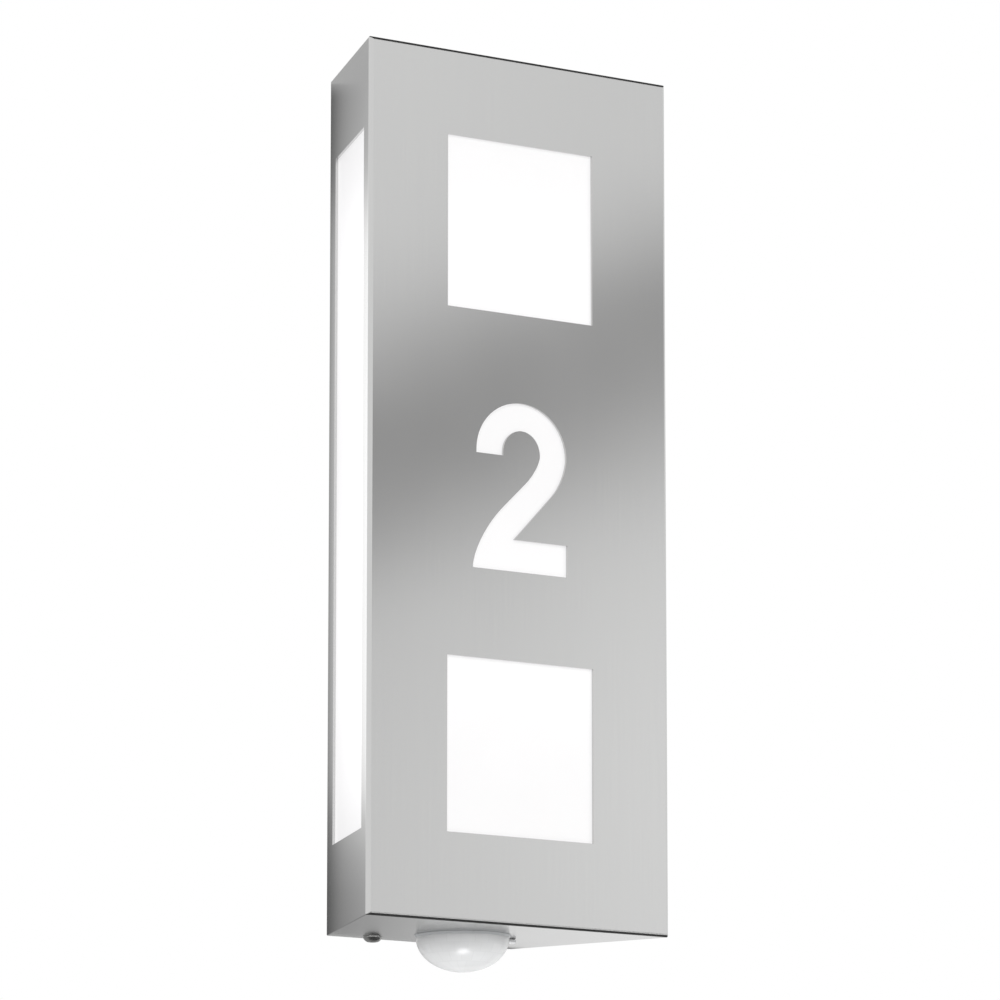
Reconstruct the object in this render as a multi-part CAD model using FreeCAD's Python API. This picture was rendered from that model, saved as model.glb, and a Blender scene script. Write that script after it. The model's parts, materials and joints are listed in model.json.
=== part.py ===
import FreeCAD, Part

import os
from math import asin, atan2, cos, degrees, hypot, pi, sin, tan

# Illuminated house number sign for a house wall.
# Frame: millimetres, +Z up, X to the right as seen from the street, the wall is the plane Y = 0 and
# the sign stands out of it towards -Y. The origin is the middle of the wall plane behind the sign.

V = FreeCAD.Vector
X_AXIS = V(1, 0, 0)
Y_AXIS = V(0, 1, 0)
Z_AXIS = V(0, 0, 1)
ORIGIN = V(0, 0, 0)

# ---- cover: folded and welded stainless sheet -------------------------------------------------
COVER_HEIGHT = 400.0
FRONT_WIDTH = 165.5        # between the sharp corners that the front bends round off
SIDE_INSET = 31.75         # how far each side wall has slanted in at its back edge
COVER_DEPTH = 82.0
WALL_GAP = 1.0             # the cover's back edge stays this far off the wall
SHEET = 1.2
BEND_RADIUS = 1.6          # outside radius of the front bends
SEAM_RADIUS = 0.5          # dressed weld along the top and bottom of the side walls

WINDOW_SIZE = 80.0
WINDOW_RISE = 120.0        # from the middle of the front to the middle of a window
SLOT_WIDTH = 64.0          # light slot in a side wall, measured along the wall
SLOT_HEIGHT = 320.0
SLOT_MARGIN = 12.0         # from the front edge of the side wall to the slot

# ---- numeral, cut through the front -----------------------------------------------------------
NUMERAL_HEIGHT = 78.0
NUMERAL_STEM = 14.7            # width of its stroke and height of its foot
NUMERAL_TOP_STROKE = 12.8      # the stroke is thinner where the bowl passes its top
NUMERAL_BOWL_X = 0.5
NUMERAL_BOWL_HALF_WIDTH = 24.8
NUMERAL_BOWL_HEIGHT = 23.4     # from the bowl's widest place to its top
NUMERAL_TIP_DROP = 1.6         # the stroke starts this far below the bowl's widest place
NUMERAL_FOOT_LEFT = 26.2
NUMERAL_FOOT_RIGHT = 25.8
NUMERAL_SHOULDER_IN = 7.6      # the bowl's outside has come in this far ...
NUMERAL_SHOULDER_DROP = 17.6   # ... and down this far where it runs into the straight slant
NUMERAL_ARMPIT_IN = 8.0        # the same two, on the bowl's inside
NUMERAL_ARMPIT_DROP = 13.6
NUMERAL_KNEE_IN = 16.3         # the slant's left edge starts to curve here, in from the foot's end
NUMERAL_KNEE_RISE = 29.0       # and this far above its base
NUMERAL_CROTCH_X = -3.5        # where the slant meets the top of the foot
ROUNDNESS = 0.5523             # handle length that makes a curve follow an ellipse

# ---- opal panes and what holds them -----------------------------------------------------------
PANE = 3.0
FRONT_PANE_SIDE_GAP = 5.8  # from the front pane to the cover's side walls
FRONT_PANE_END_GAP = 8.8   # and to its top and bottom
SIDE_PANE_LAP = 4.0        # what a side pane covers beside its slot
SIDE_PANE_END_LAP = 22.0   # and past each end of it
STUD_RADIUS = 1.5
STUD_LENGTH = 8.0
STUD_MARGIN = 10.0         # from a stud to the edge of its pane
STUD_HOLE_GAP = 0.4
NUT_FLATS = 5.5
NUT_HEIGHT = 2.4
THREAD_GAP = 0.05

# ---- wall plate -------------------------------------------------------------------------------
GASKET = 2.0
GASKET_WIDTH = 6.0
GASKET_INSET = 2.0
PLATE = 1.5
PLATE_SIDE_GAP = 3.7       # from the plate to the cover's side walls at their back edge
PLATE_CORNER = 4.0
TAB_GAP = 0.3              # between the plate's tabs and the cover's top and bottom
TAB_REACH = 14.0           # from the wall to the front edge of the tabs
TOP_TAB_WIDTH = 80.0
EAR_WIDTH = 20.0
WALL_SLOT_X = 28.0
WALL_SLOT_RISE = 110.0
WALL_SLOT_LENGTH = 12.0
WALL_SLOT_RADIUS = 2.75

# ---- cover screws -----------------------------------------------------------------------------
COVER_SCREW_X = 31.0
COVER_SCREW_OFF_WALL = 8.5
COVER_SCREW_RADIUS = 2.5
COVER_SCREW_HEAD_RADIUS = 4.5
COVER_SCREW_HEAD = 2.8
COVER_SCREW_RIM = 0.5          # straight edge of the domed head
COVER_SCREW_SHOULDER = 2.0     # height of the dome's steep part ...
COVER_SCREW_SHOULDER_RADIUS = 3.6
COVER_SCREW_FACE_RADIUS = 2.2  # flat round the key's socket
COVER_SCREW_LENGTH = 10.0
COVER_SCREW_SOCKET = 3.0   # across the flats of the key
COVER_SCREW_SOCKET_DEPTH = 1.8
COVER_SCREW_GAP = 0.5      # round the screw, in the ear's slot
COVER_SCREW_HOLE_GAP = 0.25
COVER_NUT_FLATS = 8.0
COVER_NUT_HEIGHT = 4.0
COVER_NUT_GAP = 0.3        # between the ear and the slackened nut

# ---- motion sensor ----------------------------------------------------------------------------
LENS_OFF_WALL = 36.0
LENS_RADIUS = 21.3
LENS_DROP = 15.5
LENS_WALL = 1.0
DOME_BANDS = 7             # straight bands that follow the oval; the inside has about half
BEZEL_RADIUS = 23.0
BEZEL_FLANGE = 1.2
BEZEL_EDGE = 0.6
BEZEL_COLLAR = 1.4
BEZEL_COLLAR_WALL = 1.7
SNOUT_RADIUS = 18.0
SNOUT_WALL = 1.5
SNOUT_HOLE_GAP = 0.3
SEAL_THICKNESS = 0.5
SEAL_WIDTH = 3.4
SENSOR_LEFT = 23.0         # the sensor case reaches this far left of the lens axis
SENSOR_RIGHT = 33.0
SENSOR_HALF_DEPTH = 21.0
SENSOR_HEIGHT = 28.3
SENSOR_WALL = 1.5
SENSOR_CORNER = 4.0
SENSOR_LID = 1.5
SENSOR_LIP = 2.0
SENSOR_LIP_GAP = 0.15
BOARD = 1.6
BOARD_GAP = 1.0            # round the board, inside the case
BOARD_RISE = 12.8          # from the case's floor to the board
POST_RADIUS = 2.5
DETECTOR_RADIUS = 4.6
DETECTOR_DROP = 17.5       # from the board to the detector's window
RELAY_LENGTH = 20.0
RELAY_WIDTH = 15.0
RELAY_HEIGHT = 10.0
TRIMMER_X = 26.5
TRIMMER_PITCH = 11.0
TRIMMER_RADIUS = 1.5
TRIMMER_RUNNING_GAP = 0.1
TRIMMER_HOLE_GAP = 0.5
TRIMMER_HEAD_RADIUS = 2.4
TRIMMER_HEAD = 1.6
TRIMMER_HEAD_GAP = 0.3
TRIMMER_SLOT = 0.7
TRIMMER_SLOT_DEPTH = 0.8
TRIMMER_BOSS_WALL = 1.4
TRIMMER_BOSS_HEIGHT = 5.8
POT_SIZE = 6.5
POT_HEIGHT = 5.0
POT_BORE_DEPTH = 3.0
POT_END_GAP = 0.3

# ---- lamps and lampholders --------------------------------------------------------------------
HOLDER_RADIUS = 20.0
HOLDER_NECK_RADIUS = 17.0
HOLDER_NECK = 12.0
HOLDER_SHOULDER = 4.0      # height of the slope between neck and body
HOLDER_LENGTH = 42.0
HOLDER_FLOOR = 14.0
SLEEVE_RADIUS = 13.5
SLEEVE_WALL = 0.6
SLEEVE_END = 38.0
SLEEVE_SEAT_GAP = 0.1
TONGUE_WIDTH = 5.0
TONGUE_LENGTH = 9.0
TONGUE_THICKNESS = 0.8
TONGUE_HEIGHT = 3.0
CONTACT_GAP = 0.3
CAP_RADIUS = 13.0
CAP_TIP_RADIUS = 4.5
CAP_INSULATOR = 4.7
CAP_INSULATOR_RADIUS = 9.0
CAP_END = 43.0
COLLAR_RADIUS = 14.0
COLLAR_NECK_RADIUS = 16.5
COLLAR_NECK = 58.0
COLLAR_END = 80.0
BULB_RADIUS = 30.0
BULB_CENTRE = 95.0         # from the back of the lampholder, as are the lengths above
BULB_BANDS = 7             # straight bands that follow the ball
UPPER_HOLDER_DROP = 7.0    # from the top tab's underside to the back of the upper lampholder
LOWER_HOLDER_RISE = 6.5    # from the sensor lid to the back of the lower lampholder

BRACKET = 1.5
BRACKET_WIDTH = 36.0
BRACKET_LEG = 22.0
BRACKET_LIP = 0.5          # the shelf's front edge, past the lampholder
BRACKET_CORNER = 6.0
BRACKET_SCREW_X = 13.5
BRACKET_SCREW_RISE = 14.0
BRACKET_SCREW_RADIUS = 1.9
BRACKET_SCREW_HEAD_RADIUS = 3.2
BRACKET_SCREW_HEAD = 2.2
BRACKET_SCREW_LENGTH = 3.7
HOLDER_SCREW_X = 9.0
HOLDER_SCREW_RADIUS = 1.5
HOLDER_SCREW_HEAD_RADIUS = 2.75
HOLDER_SCREW_HEAD = 1.8
HOLDER_SCREW_LENGTH = 8.0

# ---- wiring -----------------------------------------------------------------------------------
BLOCK_Z = 14.0
BLOCK_SIDE_GAP = 1.0       # from the block's right end to the plate's edge
BLOCK_LENGTH = 55.0
BLOCK_HEIGHT = 18.0
BLOCK_DEPTH = 16.0
POLES = 4
POLE_PITCH = 8.0
POLE_MARGIN = 5.0          # from the block's left end to its first pole
POLE_SCREW_RISE = 4.5
POLE_SCREW_RADIUS = 1.8
POLE_SCREW_LENGTH = 5.0
POLE_SCREW_RECESS = 3.0
POLE_HOLE_RADIUS = 2.1
WIRE_RADIUS = 1.1
WIRE_HOLE_RADIUS = 1.5
WIRE_ENTRY = 3.0
WIRE_HOLE_X = 8.0          # of a lampholder's two lead entries, either side of its middle
WIRE_END_GAP = 0.5
WIRE_OFF_PLATE = 4.5
WIRE_HOLE_DEPTH = 3.6
BLOCK_SCREW_STEP = 12.0    # from the plug-in socket's middle to the block's screw
BLOCK_SCREW_RADIUS = 1.45
BLOCK_SCREW_HOLE_RADIUS = 1.7
BLOCK_SCREW_HEAD_RADIUS = 2.8
BLOCK_SCREW_HEAD = 2.2
BLOCK_SCREW_SINK = 3.0
BLOCK_SCREW_SINK_RADIUS = 3.2
BLOCK_SCREW_TIP = 0.6      # past the back of the plate
SOCKET_WALL = 3.0
SOCKET_SIZE = 12.0
SOCKET_DEPTH = 6.0
SOCKET_GAP = 0.3
PLUG_LENGTH = 15.0
PLUG_LEAD_SETBACK = 10.5   # from the plug's inner end to the lead's middle
PIN_PITCH = 3.6
PIN_RADIUS = 0.7
PIN_LENGTH = 4.7
PIN_HOLE_RADIUS = 1.0
SENSOR_LEAD_RADIUS = 2.0
SENSOR_LEAD_HOLE_GAP = 0.2
SENSOR_LEAD_ENTRY = 2.0
SENSOR_LEAD_EXIT_X = 27.0
SENSOR_LEAD_EXIT_BACK = 6.0   # behind the lens axis
SENSOR_LEAD_DROP = 22.0       # straight down from the plug
SENSOR_LEAD_RISE = 23.0       # straight up from the case
SENSOR_LEAD_BOW = (V(9.5, 1.5, -54), V(10.5, 2, -98), V(8, -2, -134))  # from its plug end
UPPER_LEAD_BOW = (V(0.5, 0, 45), V(-2.5, 0, 95))      # up from the terminal block
LOWER_LEAD_BOW = (V(0.5, 0, -50), V(-2.5, 0, -105))   # down from the terminal block
CABLE_STEP = 12.0          # from the cable's middle to the terminal block
CABLE_BORE_RADIUS = 4.0
GROMMET_GROOVE_RADIUS = 7.0
GROMMET_FLANGE_RADIUS = 10.0
GROMMET_BACK = 1.5
GROMMET_FRONT = 2.0
GROMMET_NIPPLE = 6.0
GROMMET_NIPPLE_RADIUS = 5.4
GROMMET_SEAT_GAP = 0.1
GROMMET_RELIEF = 1.0       # that the foam frame keeps off the grommet's flange
EARTH_DROP = 38.0          # below the middle of the terminal block
EARTH_STUD_RADIUS = 2.0
EARTH_STUD_LENGTH = 10.0
EARTH_WASHER_RADIUS = 4.5
EARTH_WASHER = 0.8
EARTH_NUT_FLATS = 7.0
EARTH_NUT_HEIGHT = 3.2
LUG = 1.0
LUG_RADIUS = 4.2
LUG_NECK = 5.0             # from the stud to the barrel, clear of the washer
LUG_NECK_WIDTH = 3.0
LUG_BARREL = 7.0
LUG_BARREL_RADIUS = 1.7

# ---- flats that stand for the curve of small and hidden rounds --------------------------------
PIN_SIDES = 6
PEG_SIDES = 8
WIDE_SIDES = 16
TURNED_SIDES = 24
DOME_SIDES = 32            # the moulded facets that run round the lens

# ---- places that follow from the sizes above --------------------------------------------------
TOP_Z = COVER_HEIGHT / 2
FRONT_Y = -(WALL_GAP + COVER_DEPTH)
BACK_Y = -WALL_GAP
INNER_FRONT_Y = FRONT_Y + SHEET
INNER_TOP_Z = TOP_Z - SHEET
FLOOR_Z = -INNER_TOP_Z
SIDE_LENGTH = hypot(SIDE_INSET, COVER_DEPTH)
SIDE_COS = COVER_DEPTH / SIDE_LENGTH
SIDE_TURN = 90 + degrees(atan2(SIDE_INSET, COVER_DEPTH))
PLATE_BACK_Y = -GASKET
PLATE_FRONT_Y = PLATE_BACK_Y - PLATE
PLATE_HALF_HEIGHT = INNER_TOP_Z - TAB_GAP
SHEET_ACROSS = SHEET / SIDE_COS    # a side wall's thickness, measured level
PLATE_HALF_WIDTH = FRONT_WIDTH / 2 - SIDE_INSET - SHEET_ACROSS - PLATE_SIDE_GAP
PANE_BACK_Y = INNER_FRONT_Y + PANE
FRONT_PANE_SLANT = SIDE_INSET * (SHEET + PANE) / COVER_DEPTH
FRONT_PANE_HALF_WIDTH = FRONT_WIDTH / 2 - FRONT_PANE_SLANT - SHEET_ACROSS - FRONT_PANE_SIDE_GAP
FRONT_PANE_HALF_HEIGHT = INNER_TOP_Z - FRONT_PANE_END_GAP
SIDE_PANE_HALF_HEIGHT = SLOT_HEIGHT / 2 + SIDE_PANE_END_LAP
COVER_SCREW_Y = -COVER_SCREW_OFF_WALL
LENS_Y = -LENS_OFF_WALL
CASE_FLOOR_Z = FLOOR_Z + SEAL_THICKNESS
CASE_TOP_Z = CASE_FLOOR_Z + SENSOR_HEIGHT
LID_TOP_Z = CASE_TOP_Z + SENSOR_LID
BOARD_Z = CASE_FLOOR_Z + SENSOR_WALL + BOARD_RISE
LAMP_Y = (PLATE_FRONT_Y + PANE_BACK_Y) / 2
UPPER_BASE_Z = PLATE_HALF_HEIGHT - PLATE - UPPER_HOLDER_DROP
LOWER_BASE_Z = LID_TOP_Z + LOWER_HOLDER_RISE
CAP_START = HOLDER_FLOOR + TONGUE_HEIGHT + CONTACT_GAP
BRACKET_FRONT_Y = LAMP_Y - HOLDER_RADIUS - BRACKET_LIP
BLOCK_RIGHT = PLATE_HALF_WIDTH - BLOCK_SIDE_GAP
BLOCK_LEFT = BLOCK_RIGHT - BLOCK_LENGTH
POLE_X = [BLOCK_LEFT + POLE_MARGIN + k * POLE_PITCH for k in range(POLES)]
SOCKET_X = BLOCK_RIGHT - SOCKET_WALL - SOCKET_SIZE / 2
BLOCK_SCREW_X = SOCKET_X - BLOCK_SCREW_STEP
CABLE_X = BLOCK_LEFT - CABLE_STEP
EARTH_X = POLE_X[3]
WIRE_Y = PLATE_FRONT_Y - WIRE_OFF_PLATE
BLOCK_FRONT_Y = PLATE_FRONT_Y - BLOCK_DEPTH
EARTH_Z = BLOCK_Z - EARTH_DROP
PAST = 1.0                 # cutters reach this far past the faces that they open
TRIMMER_PLACES = ((TRIMMER_X, LENS_Y), (TRIMMER_X, LENS_Y + TRIMMER_PITCH))


# ---- shaping helpers --------------------------------------------------------------------------
def block(x0, x1, y0, y1, z0, z1):
    """A rectangular block between two corners."""
    return Part.makeBox(x1 - x0, y1 - y0, z1 - z0, V(x0, y0, z0))


def rod(radius, start, end):
    """A round bar from one point to another."""
    way = end - start
    return Part.makeCylinder(radius, way.Length, start, way)


def flat_outline(sides, radius, centre, way):
    """An even outline square to a direction, with its corners on a radius."""
    turn = FreeCAD.Rotation(Z_AXIS, way)
    step = 2 * pi / sides
    corners = [centre + turn.multVec(V(cos(k * step), sin(k * step), 0) * radius)
               for k in range(sides)]
    return Part.makePolygon(corners + [corners[0]])


def peg(radius, start, end, sides=PEG_SIDES):
    """A small round bar made with flats, its corners on the radius."""
    way = end - start
    return Part.Face(flat_outline(sides, radius, start, way)).extrude(way)


def peg_hole(radius, start, end, sides=PEG_SIDES):
    """The cutter for a small hole: its flats touch the radius, so what is round still fits."""
    return peg(radius / cos(pi / sides), start, end, sides)


def collar(outer, inner, start, end, sides=PEG_SIDES):
    """A short tube made with flats."""
    reach = (end - start).normalize()
    return peg(outer, start, end, sides).cut(peg_hole(inner, start - reach, end + reach, sides))


def hexagon(flats, start, end):
    """A six-sided bar, measured across its flats, from one point to another."""
    return peg(flats / 3 ** 0.5, start, end, 6)


def nut(flats, bore, start, end):
    """A hexagon nut with its bore."""
    reach = (end - start).normalize()
    return hexagon(flats, start, end).cut(peg_hole(bore, start - reach, end + reach))


def polygon(points, depth):
    """The closed outline through the points, drawn out by a vector."""
    return Part.Face(Part.makePolygon(list(points) + [points[0]])).extrude(depth)


def lathe(profile, sides):
    """A body turned about Z with flats, its outline straight between (radius, height) points."""
    turns = [2 * pi * k / sides for k in range(sides)]
    rings = [[V(radius * cos(turn), radius * sin(turn), height) for turn in turns]
             for radius, height in profile]
    faces = []
    for (radius, _), ring, (next_radius, _), next_ring in zip(
            profile, rings, profile[1:] + profile[:1], rings[1:] + rings[:1]):
        for k in range(sides):
            corners = [ring[k - 1], ring[k]] if radius else [ring[k]]
            corners += [next_ring[k], next_ring[k - 1]] if next_radius else [next_ring[k]]
            if len(corners) > 2:
                faces.append(Part.Face(Part.makePolygon(corners + [corners[0]])))
    return Part.makeSolid(Part.Shell(faces))


def placed(shape, base, rotation=None):
    """A copy of a shape, turned about the origin and then moved."""
    copy = shape.copy()
    copy.Placement = FreeCAD.Placement(base, rotation or FreeCAD.Rotation()) * shape.Placement
    return copy


def mirrored(shape):
    """The shape's twin on the other side of the sign's middle plane."""
    return shape.mirror(ORIGIN, X_AXIS)


def on_side(shape):
    """Lay a shape on the right side wall: its x runs back along the wall, its y goes inwards."""
    return placed(shape, V(FRONT_WIDTH / 2, FRONT_Y, 0), FreeCAD.Rotation(Z_AXIS, SIDE_TURN))


def half_width(y):
    """Half the cover's outside width at a depth y."""
    return FRONT_WIDTH / 2 - SIDE_INSET * (y - FRONT_Y) / COVER_DEPTH


def edges_where(shape, test):
    """The edges whose two ends both pass a test."""
    return [edge for edge in shape.Edges if all(test(vertex.Point) for vertex in edge.Vertexes)]


def near(value, target):
    return abs(value - target) < 1e-6


def bent_path(points):
    """Straight runs joined by tangent arcs, each as large as its two runs allow."""
    edges = []
    start = points[0]
    for before, corner, after in zip(points, points[1:], points[2:]):
        way_in = (corner - before).normalize()
        way_out = (after - corner).normalize()
        half_turn = way_in.getAngle(way_out) / 2
        setback = 0.45 * min((corner - before).Length, (after - corner).Length)
        radius = setback / tan(half_turn)
        leave = corner - way_in * setback
        join = corner + way_out * setback
        inward = (way_out - way_in).normalize()
        middle = corner + inward * (radius / cos(half_turn) - radius)
        print("  lead radius", round(radius, 1))
        edges.append(Part.LineSegment(start, leave).toShape())
        edges.append(Part.Arc(leave, middle, join).toShape())
        start = join
    edges.append(Part.LineSegment(start, points[-1]).toShape())
    return Part.Wire(edges)


def lead(points, radius, sides):
    """A lead along a bent path, its section an even outline."""
    path = bent_path(points)
    section = flat_outline(sides, radius, points[0], points[1] - points[0])
    pipe = Part.BRepOffsetAPI.MakePipeShell(path)
    pipe.add(section)
    pipe.build()
    pipe.makeSolid()
    return pipe.shape()


# ---- cover ------------------------------------------------------------------------------------
def cover_prism(inset, front_y, back_y, top_z):
    """The cover's trapezoid plan, drawn in by an inset, from one depth and height to another."""
    side = inset / SIDE_COS
    plan = [V(-half_width(front_y) + side, front_y, -top_z),
            V(half_width(front_y) - side, front_y, -top_z),
            V(half_width(back_y) - side, back_y, -top_z),
            V(-half_width(back_y) + side, back_y, -top_z)]
    return polygon(plan, V(0, 0, 2 * top_z))


def rounded_front(prism, front_y, radius):
    """Round the four edges that run round a prism's front."""
    return prism.makeFillet(radius, edges_where(prism, lambda p: near(p.y, front_y)))


def swing(start, corner, end):
    """A quarter of an oval between two points, tangent to the lines through their corner."""
    curve = Part.BezierCurve()
    leave = start + (corner - start) * ROUNDNESS
    arrive = end + (corner - end) * ROUNDNESS
    curve.setPoles([start, leave, arrive, end])
    return curve.toShape()


def line(start, end):
    return Part.LineSegment(start, end).toShape()


def where_slant_meets(x, near_point, far_point):
    """The point at x on the straight line through two points of the numeral."""
    slope = (far_point.z - near_point.z) / (far_point.x - near_point.x)
    return V(x, 0, near_point.z + (x - near_point.x) * slope)


def numeral_face():
    """The numeral two as a flat face in the plane Y = 0: bowl, slanting stroke and foot."""
    top = NUMERAL_HEIGHT / 2
    base = -top
    bowl_z = top - NUMERAL_BOWL_HEIGHT
    tip_z = bowl_z - NUMERAL_TIP_DROP
    inner_top = top - NUMERAL_TOP_STROKE
    foot_top = base + NUMERAL_STEM
    left = NUMERAL_BOWL_X - NUMERAL_BOWL_HALF_WIDTH
    right = NUMERAL_BOWL_X + NUMERAL_BOWL_HALF_WIDTH
    inner_left = left + NUMERAL_STEM
    inner_right = right - NUMERAL_STEM
    crown = V(NUMERAL_BOWL_X, 0, top)
    inner_crown = V(NUMERAL_BOWL_X, 0, inner_top)
    shoulder = V(right - NUMERAL_SHOULDER_IN, 0, bowl_z - NUMERAL_SHOULDER_DROP)
    armpit = V(inner_right - NUMERAL_ARMPIT_IN, 0, bowl_z - NUMERAL_ARMPIT_DROP)
    crotch = V(NUMERAL_CROTCH_X, 0, foot_top)
    knee = V(NUMERAL_KNEE_IN - NUMERAL_FOOT_LEFT, 0, base + NUMERAL_KNEE_RISE)
    toe = V(-NUMERAL_FOOT_LEFT, 0, base)
    outer_side = where_slant_meets(right, shoulder, crotch)
    inner_side = where_slant_meets(inner_right, armpit, knee)
    toe_side = where_slant_meets(toe.x, knee, armpit)
    edges = [line(V(left, 0, tip_z), V(left, 0, bowl_z)),
             swing(V(left, 0, bowl_z), V(left, 0, top), crown),
             swing(crown, V(right, 0, top), V(right, 0, bowl_z)),
             swing(V(right, 0, bowl_z), outer_side, shoulder),
             line(shoulder, crotch),
             line(crotch, V(NUMERAL_FOOT_RIGHT, 0, foot_top)),
             line(V(NUMERAL_FOOT_RIGHT, 0, foot_top), V(NUMERAL_FOOT_RIGHT, 0, base)),
             line(V(NUMERAL_FOOT_RIGHT, 0, base), toe),
             swing(toe, toe_side, knee),
             line(knee, armpit),
             swing(armpit, inner_side, V(inner_right, 0, bowl_z)),
             swing(V(inner_right, 0, bowl_z), V(inner_right, 0, inner_top), inner_crown),
             swing(inner_crown, V(inner_left, 0, inner_top), V(inner_left, 0, bowl_z)),
             line(V(inner_left, 0, bowl_z), V(inner_left, 0, tip_z)),
             line(V(inner_left, 0, tip_z), V(left, 0, tip_z))]
    return Part.Face(Part.Wire(edges))


def side_slot():
    """The tall light slot, as a cutter laid on the right side wall."""
    return on_side(block(SLOT_MARGIN, SLOT_MARGIN + SLOT_WIDTH, -SHEET, 2 * SHEET,
                         -SLOT_HEIGHT / 2, SLOT_HEIGHT / 2))


def housing_shell():
    """The folded cover, open towards the wall, with its windows, numeral, slots and holes."""
    outer = cover_prism(0, FRONT_Y, BACK_Y, TOP_Z)
    outer = rounded_front(outer, FRONT_Y, BEND_RADIUS)
    seams = [edge for edge in outer.Edges
             if all(abs(abs(v.Point.z) - TOP_Z) < 1e-6 for v in edge.Vertexes)
             and abs(edge.Vertexes[0].Point.y - edge.Vertexes[-1].Point.y) > COVER_DEPTH / 2]
    outer = outer.makeFillet(SEAM_RADIUS, seams)
    inner = cover_prism(SHEET, INNER_FRONT_Y, BACK_Y + SHEET, INNER_TOP_Z)
    inner = rounded_front(inner, INNER_FRONT_Y, BEND_RADIUS - SHEET)
    shell = outer.cut(inner)
    cutters = [side_slot(), mirrored(side_slot())]
    half = WINDOW_SIZE / 2
    for middle in (WINDOW_RISE, -WINDOW_RISE):
        cutters.append(block(-half, half, FRONT_Y - SHEET, INNER_FRONT_Y + SHEET,
                             middle - half, middle + half))
    numeral = numeral_face().extrude(V(0, 3 * SHEET, 0))
    cutters.append(placed(numeral, V(0, FRONT_Y - SHEET, 0)))
    cutters.append(through_floor(rod, 0, LENS_Y, SNOUT_RADIUS + SNOUT_HOLE_GAP))
    screw_hole = COVER_SCREW_RADIUS + COVER_SCREW_HOLE_GAP
    cutters += [through_floor(peg_hole, side * COVER_SCREW_X, COVER_SCREW_Y, screw_hole)
                for side in (-1, 1)]
    cutters += [through_floor(peg_hole, x, y, TRIMMER_RADIUS + TRIMMER_HOLE_GAP)
                for x, y in TRIMMER_PLACES]
    return shell.cut(cutters)


def through_floor(make, x, y, radius):
    """A cutter through the cover's bottom."""
    return make(radius, V(x, y, -TOP_Z - SHEET), V(x, y, FLOOR_Z + SHEET))


# ---- opal panes and their fasteners -----------------------------------------------------------
def front_stud_places():
    across = FRONT_PANE_HALF_WIDTH - STUD_MARGIN
    rise = FRONT_PANE_HALF_HEIGHT - STUD_MARGIN
    return [V(x, INNER_FRONT_Y, z) for x in (-across, across) for z in (-rise, 0, rise)]


def side_stud_places():
    """Stud places on the right wall, in that wall's own frame."""
    middle = SLOT_MARGIN + SLOT_WIDTH / 2
    rise = SIDE_PANE_HALF_HEIGHT - STUD_MARGIN
    return [V(middle, SHEET, z) for z in (-rise, rise)]


def on_studs(make_front, make_side):
    """One piece for each welded stud: six on the front, two on each side wall."""
    pieces = [make_front(place) for place in front_stud_places()]
    for place in side_stud_places():
        right = on_side(make_side(place))
        pieces += [right, mirrored(right)]
    return pieces


def along_stud(make, first, last):
    """Make a piece between two heights of every stud, measured from the sheet."""
    return Part.makeCompound(on_studs(
        lambda place: make(place + Y_AXIS * first, place + Y_AXIS * last),
        lambda place: make(place + Y_AXIS * first, place + Y_AXIS * last)))


def diffuser_studs():
    return along_stud(lambda start, end: peg(STUD_RADIUS, start, end), 0, STUD_LENGTH)


def diffuser_nuts():
    bore = STUD_RADIUS + THREAD_GAP
    return along_stud(lambda start, end: nut(NUT_FLATS, bore, start, end),
                      PANE, PANE + NUT_HEIGHT)


def front_diffuser():
    pane = block(-FRONT_PANE_HALF_WIDTH, FRONT_PANE_HALF_WIDTH, INNER_FRONT_Y, PANE_BACK_Y,
                 -FRONT_PANE_HALF_HEIGHT, FRONT_PANE_HALF_HEIGHT)
    hole = STUD_RADIUS + STUD_HOLE_GAP
    return pane.cut([peg_hole(hole, place - Y_AXIS, place + Y_AXIS * (PANE + PAST))
                     for place in front_stud_places()])


def right_diffuser():
    pane = block(SLOT_MARGIN - SIDE_PANE_LAP, SLOT_MARGIN + SLOT_WIDTH + SIDE_PANE_LAP,
                 SHEET, SHEET + PANE, -SIDE_PANE_HALF_HEIGHT, SIDE_PANE_HALF_HEIGHT)
    hole = STUD_RADIUS + STUD_HOLE_GAP
    pane = pane.cut([peg_hole(hole, place - Y_AXIS, place + Y_AXIS * (PANE + PAST))
                     for place in side_stud_places()])
    return on_side(pane)


def left_diffuser():
    return mirrored(right_diffuser())


# ---- cover screws -----------------------------------------------------------------------------
def cover_screw_places(z):
    return [V(side * COVER_SCREW_X, COVER_SCREW_Y, z) for side in (-1, 1)]


def housing_screws():
    """Button-head screws that come up through the cover's bottom."""
    head = lathe([(0, -COVER_SCREW_HEAD), (COVER_SCREW_FACE_RADIUS, -COVER_SCREW_HEAD),
                  (COVER_SCREW_SHOULDER_RADIUS, -COVER_SCREW_SHOULDER),
                  (COVER_SCREW_HEAD_RADIUS, -COVER_SCREW_RIM), (COVER_SCREW_HEAD_RADIUS, 0),
                  (0, 0)], TURNED_SIDES)
    screw = head.fuse(peg(COVER_SCREW_RADIUS, ORIGIN, V(0, 0, COVER_SCREW_LENGTH)))
    socket = hexagon(COVER_SCREW_SOCKET, V(0, 0, -COVER_SCREW_HEAD - PAST),
                     V(0, 0, COVER_SCREW_SOCKET_DEPTH - COVER_SCREW_HEAD))
    screw = screw.cut(socket).removeSplitter()
    return Part.makeCompound([placed(screw, place) for place in cover_screw_places(-TOP_Z)])


def housing_nuts():
    bottom = -PLATE_HALF_HEIGHT + PLATE + COVER_NUT_GAP
    rise = V(0, 0, COVER_NUT_HEIGHT)
    bore = COVER_SCREW_RADIUS + THREAD_GAP
    return Part.makeCompound([nut(COVER_NUT_FLATS, bore, place, place + rise)
                              for place in cover_screw_places(bottom)])


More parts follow.
